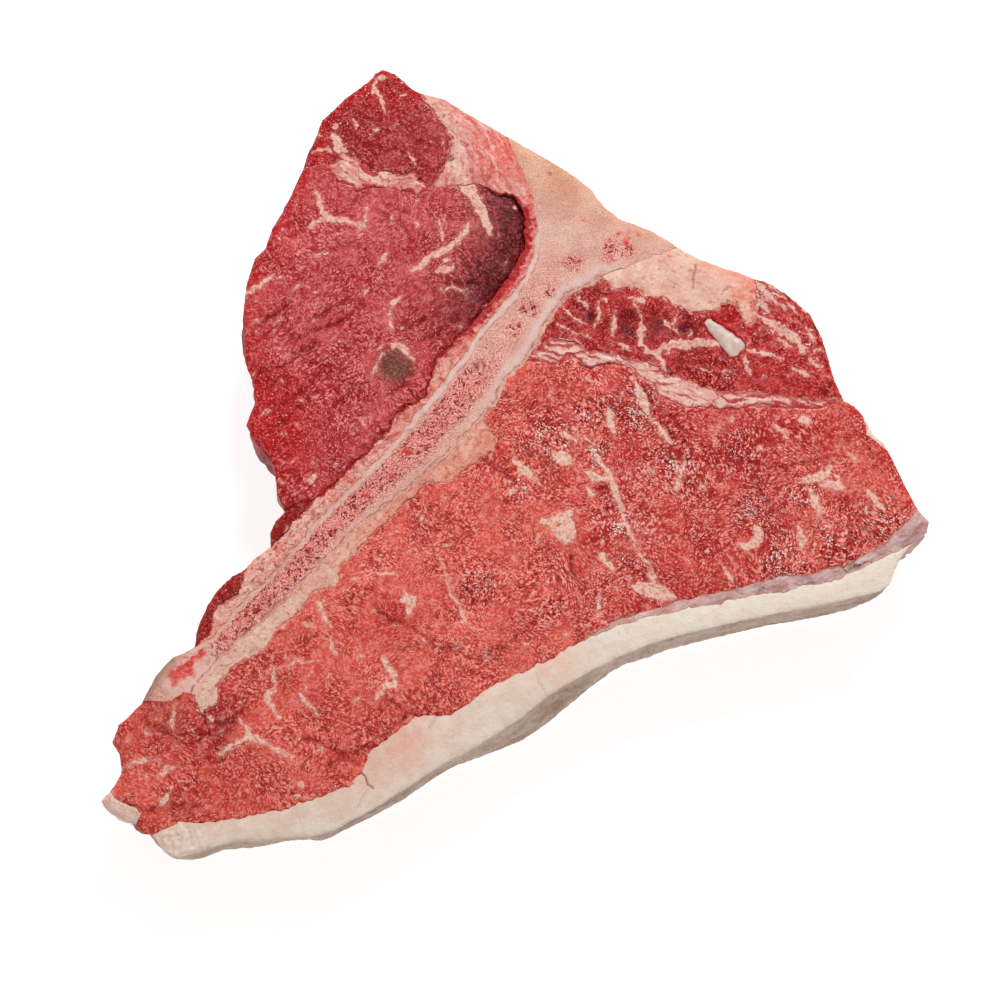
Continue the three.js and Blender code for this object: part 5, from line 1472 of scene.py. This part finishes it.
def cap_marks(places):
    """Cracks as thin dark lines, the meat's pink near the loin's lobe, and ivory towards the right."""
    faint = np.min([distance_to(places, line) for line in CAP_CRACKS[1:]], axis=0)
    pink = (1.1 * patch(places, (-31, -86), 13) + 0.6 * patch(places, (-40, -95), 10)
            + 0.6 * patch(places, (12, -62), 15)
            + 0.4 * np.exp(-distance_to(places, seam["cap_upper"]) / 2.5))
    marks = seeping(["cap_upper"], places, pink * (0.8 + 0.3 * ripple(places, 3, 8, 82)))
    marks["bleach"] = 0.5 * np.clip((places[..., 0] + 10) / 60, 0, 1)
    marks["slit"] = np.maximum(0.95 * np.exp(-(distance_to(places, CAP_CRACKS[0]) / 0.3) ** 2),
                               0.28 * np.exp(-(faint / 0.25) ** 2))
    return marks


def cap_relief(places, edge, shown):
    """Almost flat, with long low waves and the cracks, and crumpled at the tail end."""
    crumpled = patch(places, (-96, -114), 13)
    return (0.07 * ripple(places, 12, 34, 81) + (0.02 + 0.3 * crumpled) * ripple(places, 1.5, 4.5, 83)
            - 0.2 * shown["slit"])


def skin_marks(places):
    """Pinker left of x = 50, where the membrane is a thin line."""
    return seeping(["skin_upper"], places, np.clip((60 - places[..., 0]) / 25, 0, 0.7))


def plain_fat_marks(places):
    """A slow random stain of blood."""
    return seeping(["tail_side", "scrap_side"], places, 0.25 * np.clip(ripple(places, 5, 16, 71), 0, 1))


# The cap's side colours are its ivory painted in shade, a grey-tan.
cap_fat = fat_material(
    "cap_fat", seen(232, 213, 198), seen(224, 198, 180), seen(222, 164, 148), seen(230, 176, 156), 0.0, 0.3, 0.1,
    side=(seen(177, 148, 128), seen(153, 123, 105), seen(200, 175, 155), seen(132, 90, 76)))
silver = fat_material(
    "silver_skin", seen(206, 166, 160), seen(180, 136, 132), seen(176, 96, 94), seen(216, 160, 146), 0.0, 0.4, 0.4)
rim_fat = fat_material(
    "rim_fat", seen(238, 212, 194), seen(228, 186, 168), seen(190, 84, 70), seen(214, 150, 130), 0.1, 0.4, 0.3)
fat_cap = cut_slice(
    "fat_cap_piece", ["cap_upper", "skin_lower"], ["-cap_rim"], [(1, 0.55)], 0.55, cap_relief, cap_marks, 25,
    swell=0.3, rim_drop=0.3, rounding=0.35, wall_waves=0.3)
placed(fat_cap, "fat_cap", cap_fat)
silver_skin = cut_slice(
    "silver_skin_piece", ["skin_upper"], ["skin_lower", "-skin_rim"], [], 0.45, smooth_relief, skin_marks, 20,
    swell=0.1)
placed(silver_skin, "silver_skin", silver)
tail_fat = cut_slice(
    "tail_fat_piece", ["-tail_rim"], ["tail_side"], [], 0.4, crumbly_relief, plain_fat_marks, -50, swell=0.3)
placed(tail_fat, "tail_fat", rim_fat)
edge_scrap = cut_slice(
    "edge_scrap_fat_piece", ["scrap_rim"], ["scrap_side"], [], 0.4, crumbly_relief, plain_fat_marks, -60,
    swell=0.3)
placed(edge_scrap, "edge_scrap_fat", rim_fat)
